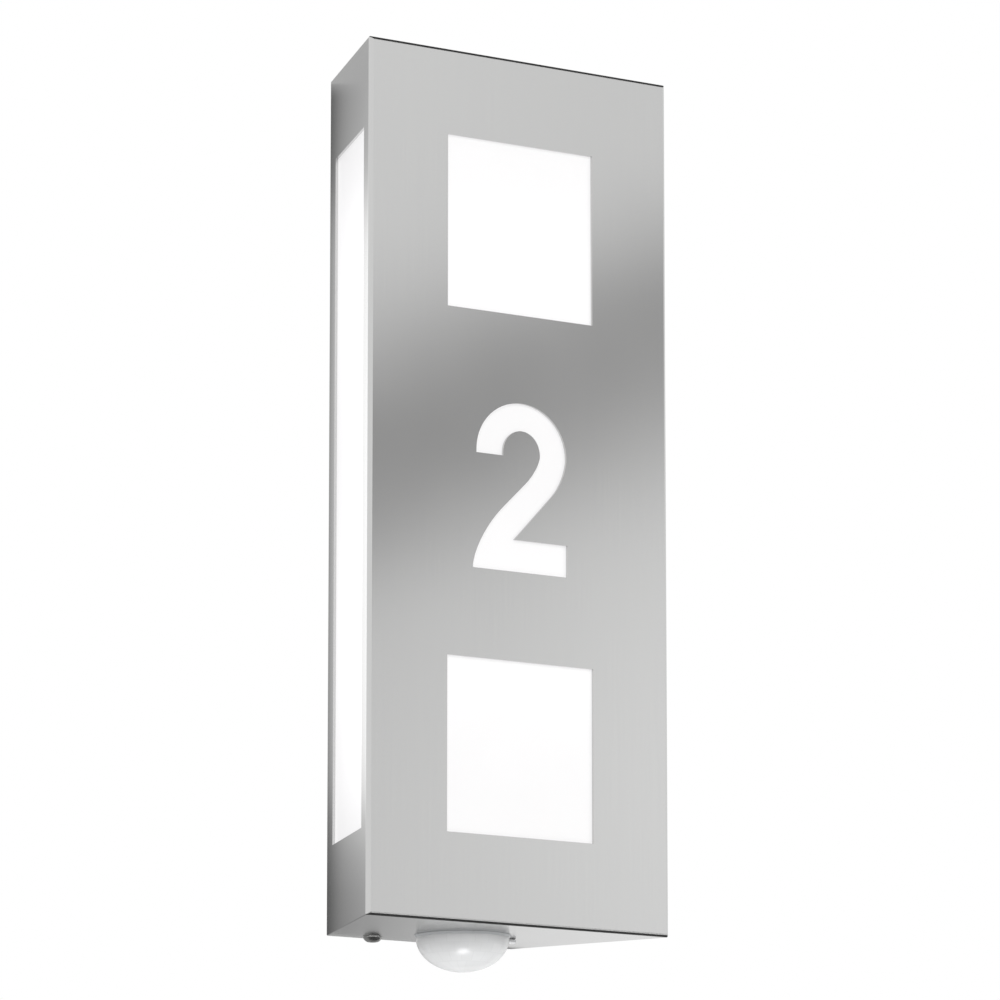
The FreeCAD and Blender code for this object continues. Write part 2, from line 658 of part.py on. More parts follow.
# ---- motion sensor ----------------------------------------------------------------------------
def at_lens(shape):
    """Move a shape made about Z onto the lens axis, its zero at the cover's underside."""
    return placed(shape, V(0, LENS_Y, -TOP_Z))


def oval_bands(across, down, bands):
    """Points down a quarter of an oval, from its widest place to its lowest."""
    turns = [pi / 2 * k / bands for k in range(bands)]
    return [(across * cos(turn), -down * sin(turn)) for turn in turns] + [(0, -down)]


def sensor_lens():
    """Hollow half-oval dome that hangs from the bezel."""
    outside = oval_bands(LENS_RADIUS, LENS_DROP, DOME_BANDS)
    inside = oval_bands(LENS_RADIUS - LENS_WALL, LENS_DROP - LENS_WALL, DOME_BANDS // 2 + 1)
    dome = lathe(outside + inside[::-1], DOME_SIDES)
    return at_lens(placed(dome, V(0, 0, -BEZEL_FLANGE)))


def sensor_bezel():
    """Flanged ring that screws onto the sensor's snout and clamps it to the cover."""
    bore = (SNOUT_RADIUS + THREAD_GAP) / cos(pi / DOME_SIDES)
    wide = bore + BEZEL_COLLAR_WALL
    low = -BEZEL_FLANGE
    profile = [(bore, 0), (BEZEL_RADIUS, 0), (BEZEL_RADIUS - BEZEL_EDGE, low), (wide, low),
               (wide, low - BEZEL_COLLAR), (bore, low - BEZEL_COLLAR)]
    return at_lens(lathe(profile, DOME_SIDES))


def sensor_seal():
    inner = SNOUT_RADIUS + SNOUT_HOLE_GAP
    return collar(inner + SEAL_WIDTH, inner, V(0, LENS_Y, FLOOR_Z), V(0, LENS_Y, CASE_FLOOR_Z),
                  WIDE_SIDES)


def case_block(inset, z0, z1):
    """The sensor case's rounded plan, drawn in by an inset, between two heights."""
    half = SENSOR_HALF_DEPTH - inset
    body = block(-SENSOR_LEFT + inset, SENSOR_RIGHT - inset, LENS_Y - half, LENS_Y + half, z0, z1)
    uprights = [edge for edge in body.Edges
                if near(edge.Vertexes[0].X, edge.Vertexes[1].X)
                and near(edge.Vertexes[0].Y, edge.Vertexes[1].Y)]
    return body.makeFillet(SENSOR_CORNER - inset / 2, uprights)


def board_posts():
    inset = SENSOR_WALL + BOARD_GAP + POST_RADIUS
    left = inset - SENSOR_LEFT
    right = SENSOR_RIGHT - inset
    front = LENS_Y - SENSOR_HALF_DEPTH + inset
    back = LENS_Y + SENSOR_HALF_DEPTH - inset
    inner_right = TRIMMER_X - TRIMMER_PITCH
    return [(left, front), (left, back), (right, front), (inner_right, back)]


def sensor_housing():
    """Moulded case above the cover's bottom; its snout comes down through the bottom."""
    case = case_block(0, CASE_FLOOR_Z, CASE_TOP_Z)
    floor_top = CASE_FLOOR_Z + SENSOR_WALL
    case = case.cut(case_block(SENSOR_WALL, floor_top, CASE_TOP_Z + PAST))
    snout_end = -TOP_Z - BEZEL_FLANGE - BEZEL_COLLAR
    added = [peg(SNOUT_RADIUS, V(0, LENS_Y, snout_end), V(0, LENS_Y, floor_top), DOME_SIDES)]
    for x, y in board_posts():
        added.append(peg(POST_RADIUS, V(x, y, floor_top), V(x, y, BOARD_Z)))
    running = TRIMMER_RADIUS + TRIMMER_RUNNING_GAP
    boss_top = floor_top + TRIMMER_BOSS_HEIGHT
    for x, y in TRIMMER_PLACES:
        added.append(peg(running + TRIMMER_BOSS_WALL, V(x, y, floor_top), V(x, y, boss_top)))
    case = case.fuse(added)
    bores = [peg(SNOUT_RADIUS - SNOUT_WALL, V(0, LENS_Y, snout_end - PAST),
                 V(0, LENS_Y, floor_top + PAST), DOME_SIDES)]
    for x, y in TRIMMER_PLACES:
        bores.append(rod(running, V(x, y, CASE_FLOOR_Z - PAST), V(x, y, boss_top + PAST)))
    return case.cut(bores).removeSplitter()


def sensor_lid():
    lip = SENSOR_WALL + SENSOR_LIP_GAP
    lid = case_block(0, CASE_TOP_Z, LID_TOP_Z)
    lid = lid.fuse(case_block(lip, CASE_TOP_Z - SENSOR_LIP, CASE_TOP_Z))
    lid = lid.cut(case_block(lip + SENSOR_WALL, CASE_TOP_Z - SENSOR_LIP - PAST, CASE_TOP_Z))
    hole = SENSOR_LEAD_RADIUS + SENSOR_LEAD_HOLE_GAP
    place = sensor_lead_exit()
    return lid.cut(peg_hole(hole, place - Z_AXIS * 2 * SENSOR_LID, place + Z_AXIS)).removeSplitter()


def sensor_board():
    inset = SENSOR_WALL + BOARD_GAP
    half = SENSOR_HALF_DEPTH - inset
    return block(-SENSOR_LEFT + inset, SENSOR_RIGHT - inset, LENS_Y - half, LENS_Y + half,
                 BOARD_Z, BOARD_Z + BOARD)


def pyro_detector():
    """Round metal can under the board, with its window in the middle of the lens."""
    return peg(DETECTOR_RADIUS, V(0, LENS_Y, BOARD_Z - DETECTOR_DROP), V(0, LENS_Y, BOARD_Z),
               WIDE_SIDES)


def sensor_relay():
    base = BOARD_Z + BOARD
    return block(-RELAY_LENGTH / 2, RELAY_LENGTH / 2, LENS_Y - RELAY_WIDTH / 2,
                 LENS_Y + RELAY_WIDTH / 2, base, base + RELAY_HEIGHT)


def trimmer_bases():
    """The two fixed halves of the setting potentiometers, under the board."""
    half = POT_SIZE / 2
    low = BOARD_Z - POT_HEIGHT
    bore = TRIMMER_RADIUS + TRIMMER_RUNNING_GAP
    bases = []
    for x, y in TRIMMER_PLACES:
        base = block(x - half, x + half, y - half, y + half, low, BOARD_Z)
        bases.append(base.cut(peg_hole(bore, V(x, y, low - PAST), V(x, y, low + POT_BORE_DEPTH))))
    return Part.makeCompound(bases)


def trimmer(index):
    """A slotted setting knob: its head shows under the cover, its shaft ends in its base."""
    x, y = TRIMMER_PLACES[index]
    head_top = -TOP_Z - TRIMMER_HEAD_GAP
    head_low = head_top - TRIMMER_HEAD
    shaft_top = BOARD_Z - POT_HEIGHT + POT_BORE_DEPTH - POT_END_GAP
    knob = rod(TRIMMER_RADIUS, V(0, 0, head_top), V(0, 0, shaft_top))
    knob = knob.fuse(peg(TRIMMER_HEAD_RADIUS, V(0, 0, head_low), V(0, 0, head_top), WIDE_SIDES))
    half = TRIMMER_SLOT / 2
    reach = TRIMMER_HEAD_RADIUS + PAST
    slot = block(-reach, reach, -half, half, head_low - PAST, head_low + TRIMMER_SLOT_DEPTH)
    return placed(knob.cut(slot), V(x, y, 0))


def time_trimmer():
    return trimmer(0)


def lux_trimmer():
    return trimmer(1)


# ---- wall plate -------------------------------------------------------------------------------
def wall_slot(x, z):
    """A level slot through the plate, round at both ends."""
    reach = WALL_SLOT_LENGTH / 2 - WALL_SLOT_RADIUS
    near_y, far_y = PLATE_FRONT_Y - PAST, PLATE_BACK_Y + PAST
    slot = block(x - reach, x + reach, near_y, far_y, z - WALL_SLOT_RADIUS, z + WALL_SLOT_RADIUS)
    ends = [rod(WALL_SLOT_RADIUS, V(x + end, near_y, z), V(x + end, far_y, z))
            for end in (-reach, reach)]
    return slot.fuse(ends)


def wall_plate():
    """Pressed steel plate with a top tab and two slotted ears that carry the cover."""
    half = PLATE_HALF_WIDTH
    plate = block(-half, half, PLATE_FRONT_Y, PLATE_BACK_Y, -PLATE_HALF_HEIGHT, PLATE_HALF_HEIGHT)
    corners = [edge for edge in plate.Edges
               if near(edge.Vertexes[0].X, edge.Vertexes[1].X)
               and near(edge.Vertexes[0].Z, edge.Vertexes[1].Z)]
    plate = plate.makeFillet(PLATE_CORNER, corners)
    tab_half = TOP_TAB_WIDTH / 2
    tabs = [block(-tab_half, tab_half, -TAB_REACH, PLATE_BACK_Y,
                  PLATE_HALF_HEIGHT - PLATE, PLATE_HALF_HEIGHT)]
    low, high = -PLATE_HALF_HEIGHT, -PLATE_HALF_HEIGHT + PLATE
    notch = COVER_SCREW_RADIUS + COVER_SCREW_GAP
    cutters = []
    for side in (-1, 1):
        x = side * COVER_SCREW_X
        tabs.append(block(x - EAR_WIDTH / 2, x + EAR_WIDTH / 2, -TAB_REACH, PLATE_BACK_Y, low, high))
        cutters.append(rod(notch, V(x, COVER_SCREW_Y, low - PAST),
                            V(x, COVER_SCREW_Y, high + PAST)))
        cutters.append(block(x - notch, x + notch, -TAB_REACH - PAST, COVER_SCREW_Y,
                             low - PAST, high + PAST))
        cutters += [wall_slot(side * WALL_SLOT_X, rise)
                    for rise in (-WALL_SLOT_RISE, WALL_SLOT_RISE)]
    near_y, far_y = PLATE_FRONT_Y - PAST, PLATE_BACK_Y + PAST
    cutters.append(rod(GROMMET_GROOVE_RADIUS + GROMMET_SEAT_GAP, V(CABLE_X, near_y, BLOCK_Z),
                       V(CABLE_X, far_y, BLOCK_Z)))
    holes = [(BLOCK_SCREW_X, BLOCK_Z, BLOCK_SCREW_RADIUS + THREAD_GAP)]
    holes += [(x, z, BRACKET_SCREW_RADIUS + THREAD_GAP) for x, z in bracket_screw_places()]
    cutters += [peg_hole(radius, V(x, near_y, z), V(x, far_y, z)) for x, z, radius in holes]
    return plate.fuse(tabs).removeSplitter().cut(cutters)


def wall_gasket():
    """Foam frame between the plate and the wall."""
    half = PLATE_HALF_WIDTH - GASKET_INSET
    top = PLATE_HALF_HEIGHT - GASKET_INSET
    frame = block(-half, half, PLATE_BACK_Y, 0, -top, top)
    window = block(-half + GASKET_WIDTH, half - GASKET_WIDTH, PLATE_BACK_Y - PAST, PAST,
                   -top + GASKET_WIDTH, top - GASKET_WIDTH)
    relief = rod(GROMMET_FLANGE_RADIUS + GROMMET_RELIEF, V(CABLE_X, PLATE_BACK_Y - PAST, BLOCK_Z),
                 V(CABLE_X, PAST, BLOCK_Z))
    return frame.cut([window, relief])


def cable_grommet():
    """Rubber grommet in the plate's cable hole; its nipple points into the sign."""
    back = PLATE_BACK_Y + GROMMET_BACK
    front = PLATE_FRONT_Y - GROMMET_FRONT
    tip = front - GROMMET_NIPPLE
    wide = GROMMET_FLANGE_RADIUS
    body = lathe([(0, -back), (wide, -back), (wide, -PLATE_BACK_Y),
                  (GROMMET_GROOVE_RADIUS, -PLATE_BACK_Y), (GROMMET_GROOVE_RADIUS, -PLATE_FRONT_Y),
                  (wide, -PLATE_FRONT_Y), (wide, -front), (GROMMET_NIPPLE_RADIUS, -tip),
                  (0, -tip)], TURNED_SIDES)
    body = body.cut(rod(CABLE_BORE_RADIUS, V(0, 0, -back - PAST), V(0, 0, -tip + PAST)))
    return placed(body, V(CABLE_X, 0, BLOCK_Z), FreeCAD.Rotation(X_AXIS, 90))


# ---- lampholders and lamps, made upright with their mouth up and their back at zero -----------
def hung(shape):
    """Turn an upright lamp piece over and hang it in the upper place."""
    return placed(shape, V(0, LAMP_Y, UPPER_BASE_Z), FreeCAD.Rotation(Y_AXIS, 180))


def standing(shape):
    """Stand an upright lamp piece in the lower place."""
    return placed(shape, V(0, LAMP_Y, LOWER_BASE_Z))


def lampholder():
    """Insulating body with its deep socket, lead entries and screw holes."""
    cavity = (SLEEVE_RADIUS + SLEEVE_WALL + SLEEVE_SEAT_GAP) / cos(pi / TURNED_SIDES)
    shoulder = HOLDER_NECK + HOLDER_SHOULDER
    body = lathe([(0, 0), (HOLDER_NECK_RADIUS, 0), (HOLDER_NECK_RADIUS, HOLDER_NECK),
                  (HOLDER_RADIUS, shoulder), (HOLDER_RADIUS, HOLDER_LENGTH),
                  (cavity, HOLDER_LENGTH), (cavity, HOLDER_FLOOR), (0, HOLDER_FLOOR)],
                 TURNED_SIDES)
    cutters = []
    for side in (-1, 1):
        x = side * HOLDER_SCREW_X
        cutters.append(peg_hole(HOLDER_SCREW_RADIUS + THREAD_GAP, V(x, 0, -PAST),
                                V(x, 0, HOLDER_SCREW_LENGTH)))
        wire = V(side * WIRE_HOLE_X, wire_entry_y() - LAMP_Y - WIRE_ENTRY - WIRE_END_GAP,
                 HOLDER_NECK)
        cutters.append(peg_hole(WIRE_HOLE_RADIUS, wire, wire + Y_AXIS * HOLDER_RADIUS))
    return body.cut(cutters)


def wire_entry_y():
    """Depth at which a lead meets the round neck of a lampholder."""
    return LAMP_Y + (HOLDER_NECK_RADIUS ** 2 - WIRE_HOLE_X ** 2) ** 0.5


def screw_sleeve():
    """Thin metal sleeve that the lamp's cap goes into."""
    return collar(SLEEVE_RADIUS + SLEEVE_WALL, SLEEVE_RADIUS, V(0, 0, HOLDER_FLOOR),
                  V(0, 0, SLEEVE_END), TURNED_SIDES)


def contact_tongue():
    """Springy brass strip, bent up towards the lamp's tip contact."""
    half = TONGUE_LENGTH / 2
    low, high = HOLDER_FLOOR, HOLDER_FLOOR + TONGUE_HEIGHT
    thick = TONGUE_THICKNESS
    side = [V(-half, 0, low), V(half, 0, low), V(half, 0, low + thick), V(0, 0, low + thick),
            V(half - thick, 0, high - thick), V(half - thick, 0, high), V(-thick, 0, high),
            V(-thick, 0, high - thick), V(-half, 0, low + thick)]
    return placed(polygon(side, V(0, TONGUE_WIDTH, 0)), V(0, -TONGUE_WIDTH / 2, 0))


def lamp_cap():
    """Plated screw cap; the contact at its end is a piece of its own."""
    return peg(CAP_RADIUS, V(0, 0, CAP_START + CAP_INSULATOR), V(0, 0, CAP_END), TURNED_SIDES)


def lamp_tip():
    """Glass insulator that narrows to the solder contact."""
    return lathe([(0, CAP_START), (CAP_TIP_RADIUS, CAP_START),
                  (CAP_INSULATOR_RADIUS, CAP_START + CAP_INSULATOR),
                  (0, CAP_START + CAP_INSULATOR)], TURNED_SIDES)


def lamp_collar():
    """Moulded body that widens from the cap to the bulb."""
    return lathe([(0, CAP_END), (COLLAR_RADIUS, CAP_END), (COLLAR_NECK_RADIUS, COLLAR_NECK),
                  (bulb_rim_radius(), COLLAR_END), (0, COLLAR_END)], TURNED_SIDES)


def bulb_rim_radius():
    return (BULB_RADIUS ** 2 - (BULB_CENTRE - COLLAR_END) ** 2) ** 0.5


def lamp_bulb():
    """Opal bulb: a ball, cut off where it sits on the collar."""
    first = asin((COLLAR_END - BULB_CENTRE) / BULB_RADIUS)
    turns = [first + (pi / 2 - first) * k / BULB_BANDS for k in range(BULB_BANDS)]
    flank = [(BULB_RADIUS * cos(turn), BULB_CENTRE + BULB_RADIUS * sin(turn)) for turn in turns]
    return lathe([(0, COLLAR_END)] + flank + [(0, BULB_CENTRE + BULB_RADIUS)], TURNED_SIDES)


def lamp_bracket():
    """Bent strip that holds a lampholder off the plate, as for the lower place."""
    half = BRACKET_WIDTH / 2
    shelf = block(-half, half, BRACKET_FRONT_Y, PLATE_FRONT_Y, -BRACKET, 0)
    leg = block(-half, half, PLATE_FRONT_Y - BRACKET, PLATE_FRONT_Y, -BRACKET, BRACKET_LEG)
    bracket = shelf.fuse(leg).removeSplitter()
    corners = [edge for edge in bracket.Edges
               if all(near(v.Y, BRACKET_FRONT_Y) for v in edge.Vertexes)
               and near(edge.Vertexes[0].X, edge.Vertexes[1].X)]
    bracket = bracket.makeFillet(BRACKET_CORNER, corners)
    cutters = []
    for side in (-1, 1):
        under = V(side * HOLDER_SCREW_X, LAMP_Y, -BRACKET - PAST)
        cutters.append(peg_hole(HOLDER_SCREW_RADIUS + THREAD_GAP, under,
                                under + Z_AXIS * (BRACKET + 2 * PAST)))
        hole = V(side * BRACKET_SCREW_X, PLATE_FRONT_Y + PAST, BRACKET_SCREW_RISE)
        cutters.append(peg_hole(BRACKET_SCREW_RADIUS + THREAD_GAP, hole,
                                hole - Y_AXIS * (BRACKET + 2 * PAST)))
    return bracket.cut(cutters)


def upper_bracket():
    return placed(lamp_bracket().mirror(ORIGIN, Z_AXIS), V(0, 0, UPPER_BASE_Z))


def lower_bracket():
    return placed(lamp_bracket(), V(0, 0, LOWER_BASE_Z))


def bracket_screw_places():
    return [(side * BRACKET_SCREW_X, z) for side in (-1, 1)
            for z in (UPPER_BASE_Z - BRACKET_SCREW_RISE, LOWER_BASE_Z + BRACKET_SCREW_RISE)]


def pan_screw(radius, length, head_radius, head):
    """Pan-head screw about Z, its head above zero."""
    shank = peg(radius, V(0, 0, -length), ORIGIN)
    return shank.fuse(peg(head_radius, ORIGIN, V(0, 0, head)))


def facing_front(shape, x, y, z):
    """Turn a screw made about Z so that its head faces the street."""
    return placed(shape, V(x, y, z), FreeCAD.Rotation(X_AXIS, 90))


def bracket_screws():
    screw = pan_screw(BRACKET_SCREW_RADIUS, BRACKET_SCREW_LENGTH,
                      BRACKET_SCREW_HEAD_RADIUS, BRACKET_SCREW_HEAD)
    return Part.makeCompound([facing_front(screw, x, PLATE_FRONT_Y - BRACKET, z)
                              for x, z in bracket_screw_places()])


def holder_screws():
    screw = pan_screw(HOLDER_SCREW_RADIUS, HOLDER_SCREW_LENGTH,
                      HOLDER_SCREW_HEAD_RADIUS, HOLDER_SCREW_HEAD)
    under = screw.mirror(ORIGIN, Z_AXIS)
    screws = []
    for x in (-HOLDER_SCREW_X, HOLDER_SCREW_X):
        screws.append(placed(screw, V(x, LAMP_Y, UPPER_BASE_Z + BRACKET)))
        screws.append(placed(under, V(x, LAMP_Y, LOWER_BASE_Z - BRACKET)))
    return Part.makeCompound(screws)


# ---- wiring -----------------------------------------------------------------------------------
def terminal_block():
    """Moulded four-pole block with a plug-in socket for the sensor at its right end."""
    low, high = BLOCK_Z - BLOCK_HEIGHT / 2, BLOCK_Z + BLOCK_HEIGHT / 2
    body = block(BLOCK_LEFT, BLOCK_RIGHT, BLOCK_FRONT_Y, PLATE_FRONT_Y, low, high)
    cutters = []
    for x in POLE_X:
        for end, way in ((low, Z_AXIS), (high, V(0, 0, -1))):
            mouth = V(x, WIRE_Y, end)
            cutters.append(peg_hole(WIRE_HOLE_RADIUS, mouth - way, mouth + way * WIRE_HOLE_DEPTH,
                                    PIN_SIDES))
        for z in (BLOCK_Z - POLE_SCREW_RISE, BLOCK_Z + POLE_SCREW_RISE):
            depth = POLE_SCREW_RECESS + POLE_SCREW_LENGTH
            cutters.append(peg_hole(POLE_HOLE_RADIUS, V(x, BLOCK_FRONT_Y - PAST, z),
                                    V(x, BLOCK_FRONT_Y + depth, z)))
    cutters.append(peg_hole(BLOCK_SCREW_HOLE_RADIUS, V(BLOCK_SCREW_X, BLOCK_FRONT_Y - PAST, BLOCK_Z),
                            V(BLOCK_SCREW_X, PLATE_FRONT_Y + PAST, BLOCK_Z)))
    cutters.append(peg_hole(BLOCK_SCREW_SINK_RADIUS, V(BLOCK_SCREW_X, BLOCK_FRONT_Y - PAST, BLOCK_Z),
                            V(BLOCK_SCREW_X, BLOCK_FRONT_Y + BLOCK_SCREW_SINK, BLOCK_Z)))
    half = SOCKET_SIZE / 2
    cutters.append(block(SOCKET_X - half, SOCKET_X + half, BLOCK_FRONT_Y - PAST,
                         BLOCK_FRONT_Y + SOCKET_DEPTH, BLOCK_Z - half, BLOCK_Z + half))
    return body.cut(cutters)


def terminal_screws():
    """One short screw for each clamp of the terminal block."""
    head_y = BLOCK_FRONT_Y + POLE_SCREW_RECESS
    return Part.makeCompound([
        peg(POLE_SCREW_RADIUS, V(x, head_y, z), V(x, head_y + POLE_SCREW_LENGTH, z))
        for x in POLE_X for z in (BLOCK_Z - POLE_SCREW_RISE, BLOCK_Z + POLE_SCREW_RISE)])


def block_screw():
    seat = BLOCK_FRONT_Y + BLOCK_SCREW_SINK
    screw = pan_screw(BLOCK_SCREW_RADIUS, PLATE_BACK_Y - seat + BLOCK_SCREW_TIP,
                      BLOCK_SCREW_HEAD_RADIUS, BLOCK_SCREW_HEAD)
    return facing_front(screw, BLOCK_SCREW_X, seat, BLOCK_Z)


def pin_places():
    return [SOCKET_X + step * PIN_PITCH for step in (-1, 0, 1)]


def socket_pins():
    floor = BLOCK_FRONT_Y + SOCKET_DEPTH
    return Part.makeCompound([peg(PIN_RADIUS, V(x, floor, BLOCK_Z),
                                  V(x, floor - PIN_LENGTH, BLOCK_Z), PIN_SIDES)
                              for x in pin_places()])


def sensor_plug():
    """Plug on the end of the sensor's lead; it leaves its socket with the cover."""
    half = SOCKET_SIZE / 2 - SOCKET_GAP
    back = BLOCK_FRONT_Y + SOCKET_DEPTH - SOCKET_GAP
    plug = block(SOCKET_X - half, SOCKET_X + half, back - PLUG_LENGTH, back,
                 BLOCK_Z - half, BLOCK_Z + half)
    bores = [peg_hole(PIN_HOLE_RADIUS, V(x, back + PAST, BLOCK_Z),
                      V(x, back - PIN_LENGTH - PAST, BLOCK_Z), PIN_SIDES) for x in pin_places()]
    mouth = sensor_lead_start()
    hole = SENSOR_LEAD_RADIUS + SENSOR_LEAD_HOLE_GAP
    bores.append(peg_hole(hole, mouth, mouth - Z_AXIS * SOCKET_SIZE))
    return plug.cut(bores)


def sensor_lead_start():
    """Inner end of the sensor's lead, inside the underside of its plug."""
    half = SOCKET_SIZE / 2 - SOCKET_GAP
    back = BLOCK_FRONT_Y + SOCKET_DEPTH - SOCKET_GAP
    return V(SOCKET_X, back - PLUG_LEAD_SETBACK, BLOCK_Z - half + SENSOR_LEAD_ENTRY)


def sensor_lead_exit():
    """Where the sensor's lead passes through the case's lid."""
    return V(SENSOR_LEAD_EXIT_X, LENS_Y + SENSOR_LEAD_EXIT_BACK, LID_TOP_Z)


def sensor_lead():
    """The lead from the sensor case up to its plug, bowed out past the lower lamp."""
    start = sensor_lead_start()
    end = sensor_lead_exit() - V(0, 0, SENSOR_LID + SENSOR_LEAD_ENTRY)
    points = [start, start - Z_AXIS * SENSOR_LEAD_DROP]
    points += [start + step for step in SENSOR_LEAD_BOW]
    points += [end + Z_AXIS * SENSOR_LEAD_RISE, end]
    return lead(points, SENSOR_LEAD_RADIUS, PIN_SIDES)


def lamp_leads(pole, side):
    """Both leads of one pole: up to the upper lampholder and down to the lower one."""
    inside = wire_entry_y() - WIRE_ENTRY
    high = BLOCK_Z + BLOCK_HEIGHT / 2 - WIRE_ENTRY
    low = BLOCK_Z - BLOCK_HEIGHT / 2 + WIRE_ENTRY
    runs = ((high, UPPER_LEAD_BOW, UPPER_BASE_Z - HOLDER_NECK),
            (low, LOWER_LEAD_BOW, LOWER_BASE_Z + HOLDER_NECK))
    leads = []
    for first_z, bow, last_z in runs:
        first = V(POLE_X[pole], WIRE_Y, first_z)
        points = [first] + [first + V(step.x, step.y, step.z) for step in bow]
        points += [V(side * WIRE_HOLE_X, WIRE_Y, last_z), V(side * WIRE_HOLE_X, inside, last_z)]
        leads.append(lead(points, WIRE_RADIUS, PIN_SIDES))
    return Part.makeCompound(leads)


def live_leads():
    return lamp_leads(0, -1)


def neutral_leads():
    return lamp_leads(2, 1)


def earth_places():
    """Heights above the plate where the lug, the washer and the nut begin and end."""
    lug = PLATE_FRONT_Y - LUG
    washer = lug - EARTH_WASHER
    return lug, washer, washer - EARTH_NUT_HEIGHT


def earth_lead():
    """Short lead from the earth pole to a ring lug under the earth nut."""
    lug_y, _, _ = earth_places()
    centre = V(EARTH_X, 0, EARTH_Z)
    eye = peg(LUG_RADIUS, centre + Y_AXIS * PLATE_FRONT_Y, centre + Y_AXIS * lug_y)
    neck_top = EARTH_Z + LUG_NECK + LUG_BARREL_RADIUS
    neck = block(EARTH_X - LUG_NECK_WIDTH / 2, EARTH_X + LUG_NECK_WIDTH / 2, lug_y, PLATE_FRONT_Y,
                 EARTH_Z, neck_top)
    bore = peg_hole(EARTH_STUD_RADIUS + THREAD_GAP, centre + Y_AXIS * (PLATE_FRONT_Y + PAST),
                    centre + Y_AXIS * (lug_y - PAST))
    foot = V(EARTH_X, PLATE_FRONT_Y - LUG_BARREL_RADIUS, EARTH_Z + LUG_NECK)
    head = foot + Z_AXIS * LUG_BARREL
    start = V(EARTH_X, WIRE_Y, BLOCK_Z - BLOCK_HEIGHT / 2 + WIRE_ENTRY)
    run = (start.z - head.z) / 3
    points = [start, start - Z_AXIS * run, head + Z_AXIS * run, head - Z_AXIS * LUG_BARREL / 2]
    lug = eye.fuse([neck, peg(LUG_BARREL_RADIUS, foot, head)]).cut(bore)
    return lug.fuse(lead(points, WIRE_RADIUS, PIN_SIDES))


def earth_stud():
    start = V(EARTH_X, PLATE_FRONT_Y, EARTH_Z)
    return peg(EARTH_STUD_RADIUS, start, start - Y_AXIS * EARTH_STUD_LENGTH)


def earth_washer():
    lug_y, washer_y, _ = earth_places()
    return collar(EARTH_WASHER_RADIUS, EARTH_STUD_RADIUS + THREAD_GAP,
                  V(EARTH_X, lug_y, EARTH_Z), V(EARTH_X, washer_y, EARTH_Z))


def earth_nut():
    _, washer_y, nut_y = earth_places()
    return nut(EARTH_NUT_FLATS, EARTH_STUD_RADIUS + THREAD_GAP,
               V(EARTH_X, washer_y, EARTH_Z), V(EARTH_X, nut_y, EARTH_Z))


# ---- one STEP file for each node --------------------------------------------------------------
NODES = {
    "housing_shell": housing_shell,
    "front_diffuser": front_diffuser,
    "left_diffuser": left_diffuser,
    "right_diffuser": right_diffuser,
    "diffuser_studs": diffuser_studs,
    "diffuser_nuts": diffuser_nuts,
    "housing_screws": housing_screws,
    "housing_nuts": housing_nuts,
    "sensor_lens": sensor_lens,
    "sensor_bezel": sensor_bezel,
    "sensor_seal": sensor_seal,
    "sensor_housing": sensor_housing,
    "sensor_lid": sensor_lid,
    "sensor_board": sensor_board,
    "pyro_detector": pyro_detector,
    "sensor_relay": sensor_relay,
    "trimmer_bases": trimmer_bases,
    "time_trimmer": time_trimmer,
    "lux_trimmer": lux_trimmer,
    "sensor_lead": sensor_lead,
    "sensor_plug": sensor_plug,
    "wall_plate": wall_plate,
    "wall_gasket": wall_gasket,
    "cable_grommet": cable_grommet,
    "terminal_block": terminal_block,
    "terminal_screws": terminal_screws,
    "block_screw": block_screw,
    "socket_pins": socket_pins,
    "live_leads": live_leads,
    "neutral_leads": neutral_leads,
    "earth_lead": earth_lead,
    "earth_stud": earth_stud,
    "earth_washer": earth_washer,
    "earth_nut": earth_nut,
    "upper_bracket": upper_bracket,
    "lower_bracket": lower_bracket,
    "bracket_screws": bracket_screws,
    "holder_screws": holder_screws,
    "upper_lampholder": lambda: hung(lampholder()),
    "lower_lampholder": lambda: standing(lampholder()),
    "upper_screw_sleeve": lambda: hung(screw_sleeve()),
    "lower_screw_sleeve": lambda: standing(screw_sleeve()),
    "upper_contact": lambda: hung(contact_tongue()),
    "lower_contact": lambda: standing(contact_tongue()),
    "upper_lamp_bulb": lambda: hung(lamp_bulb()),
    "upper_lamp_collar": lambda: hung(lamp_collar()),
    "upper_lamp_cap": lambda: hung(lamp_cap()),
    "upper_lamp_tip": lambda: hung(lamp_tip()),
    "lower_lamp_bulb": lambda: standing(lamp_bulb()),
    "lower_lamp_collar": lambda: standing(lamp_collar()),
    "lower_lamp_cap": lambda: standing(lamp_cap()),
    "lower_lamp_tip": lambda: standing(lamp_tip()),
}

os.makedirs("parts", exist_ok=True)
for name, make in NODES.items():
    shape = make()
    shape.exportStep(os.path.join("parts", name + ".step"))
    print(name, len(shape.Solids), "solids,", round(shape.Volume), "mm3, valid", shape.isValid())
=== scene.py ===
import json
from math import cos, pi, radians, sin, tan, tau

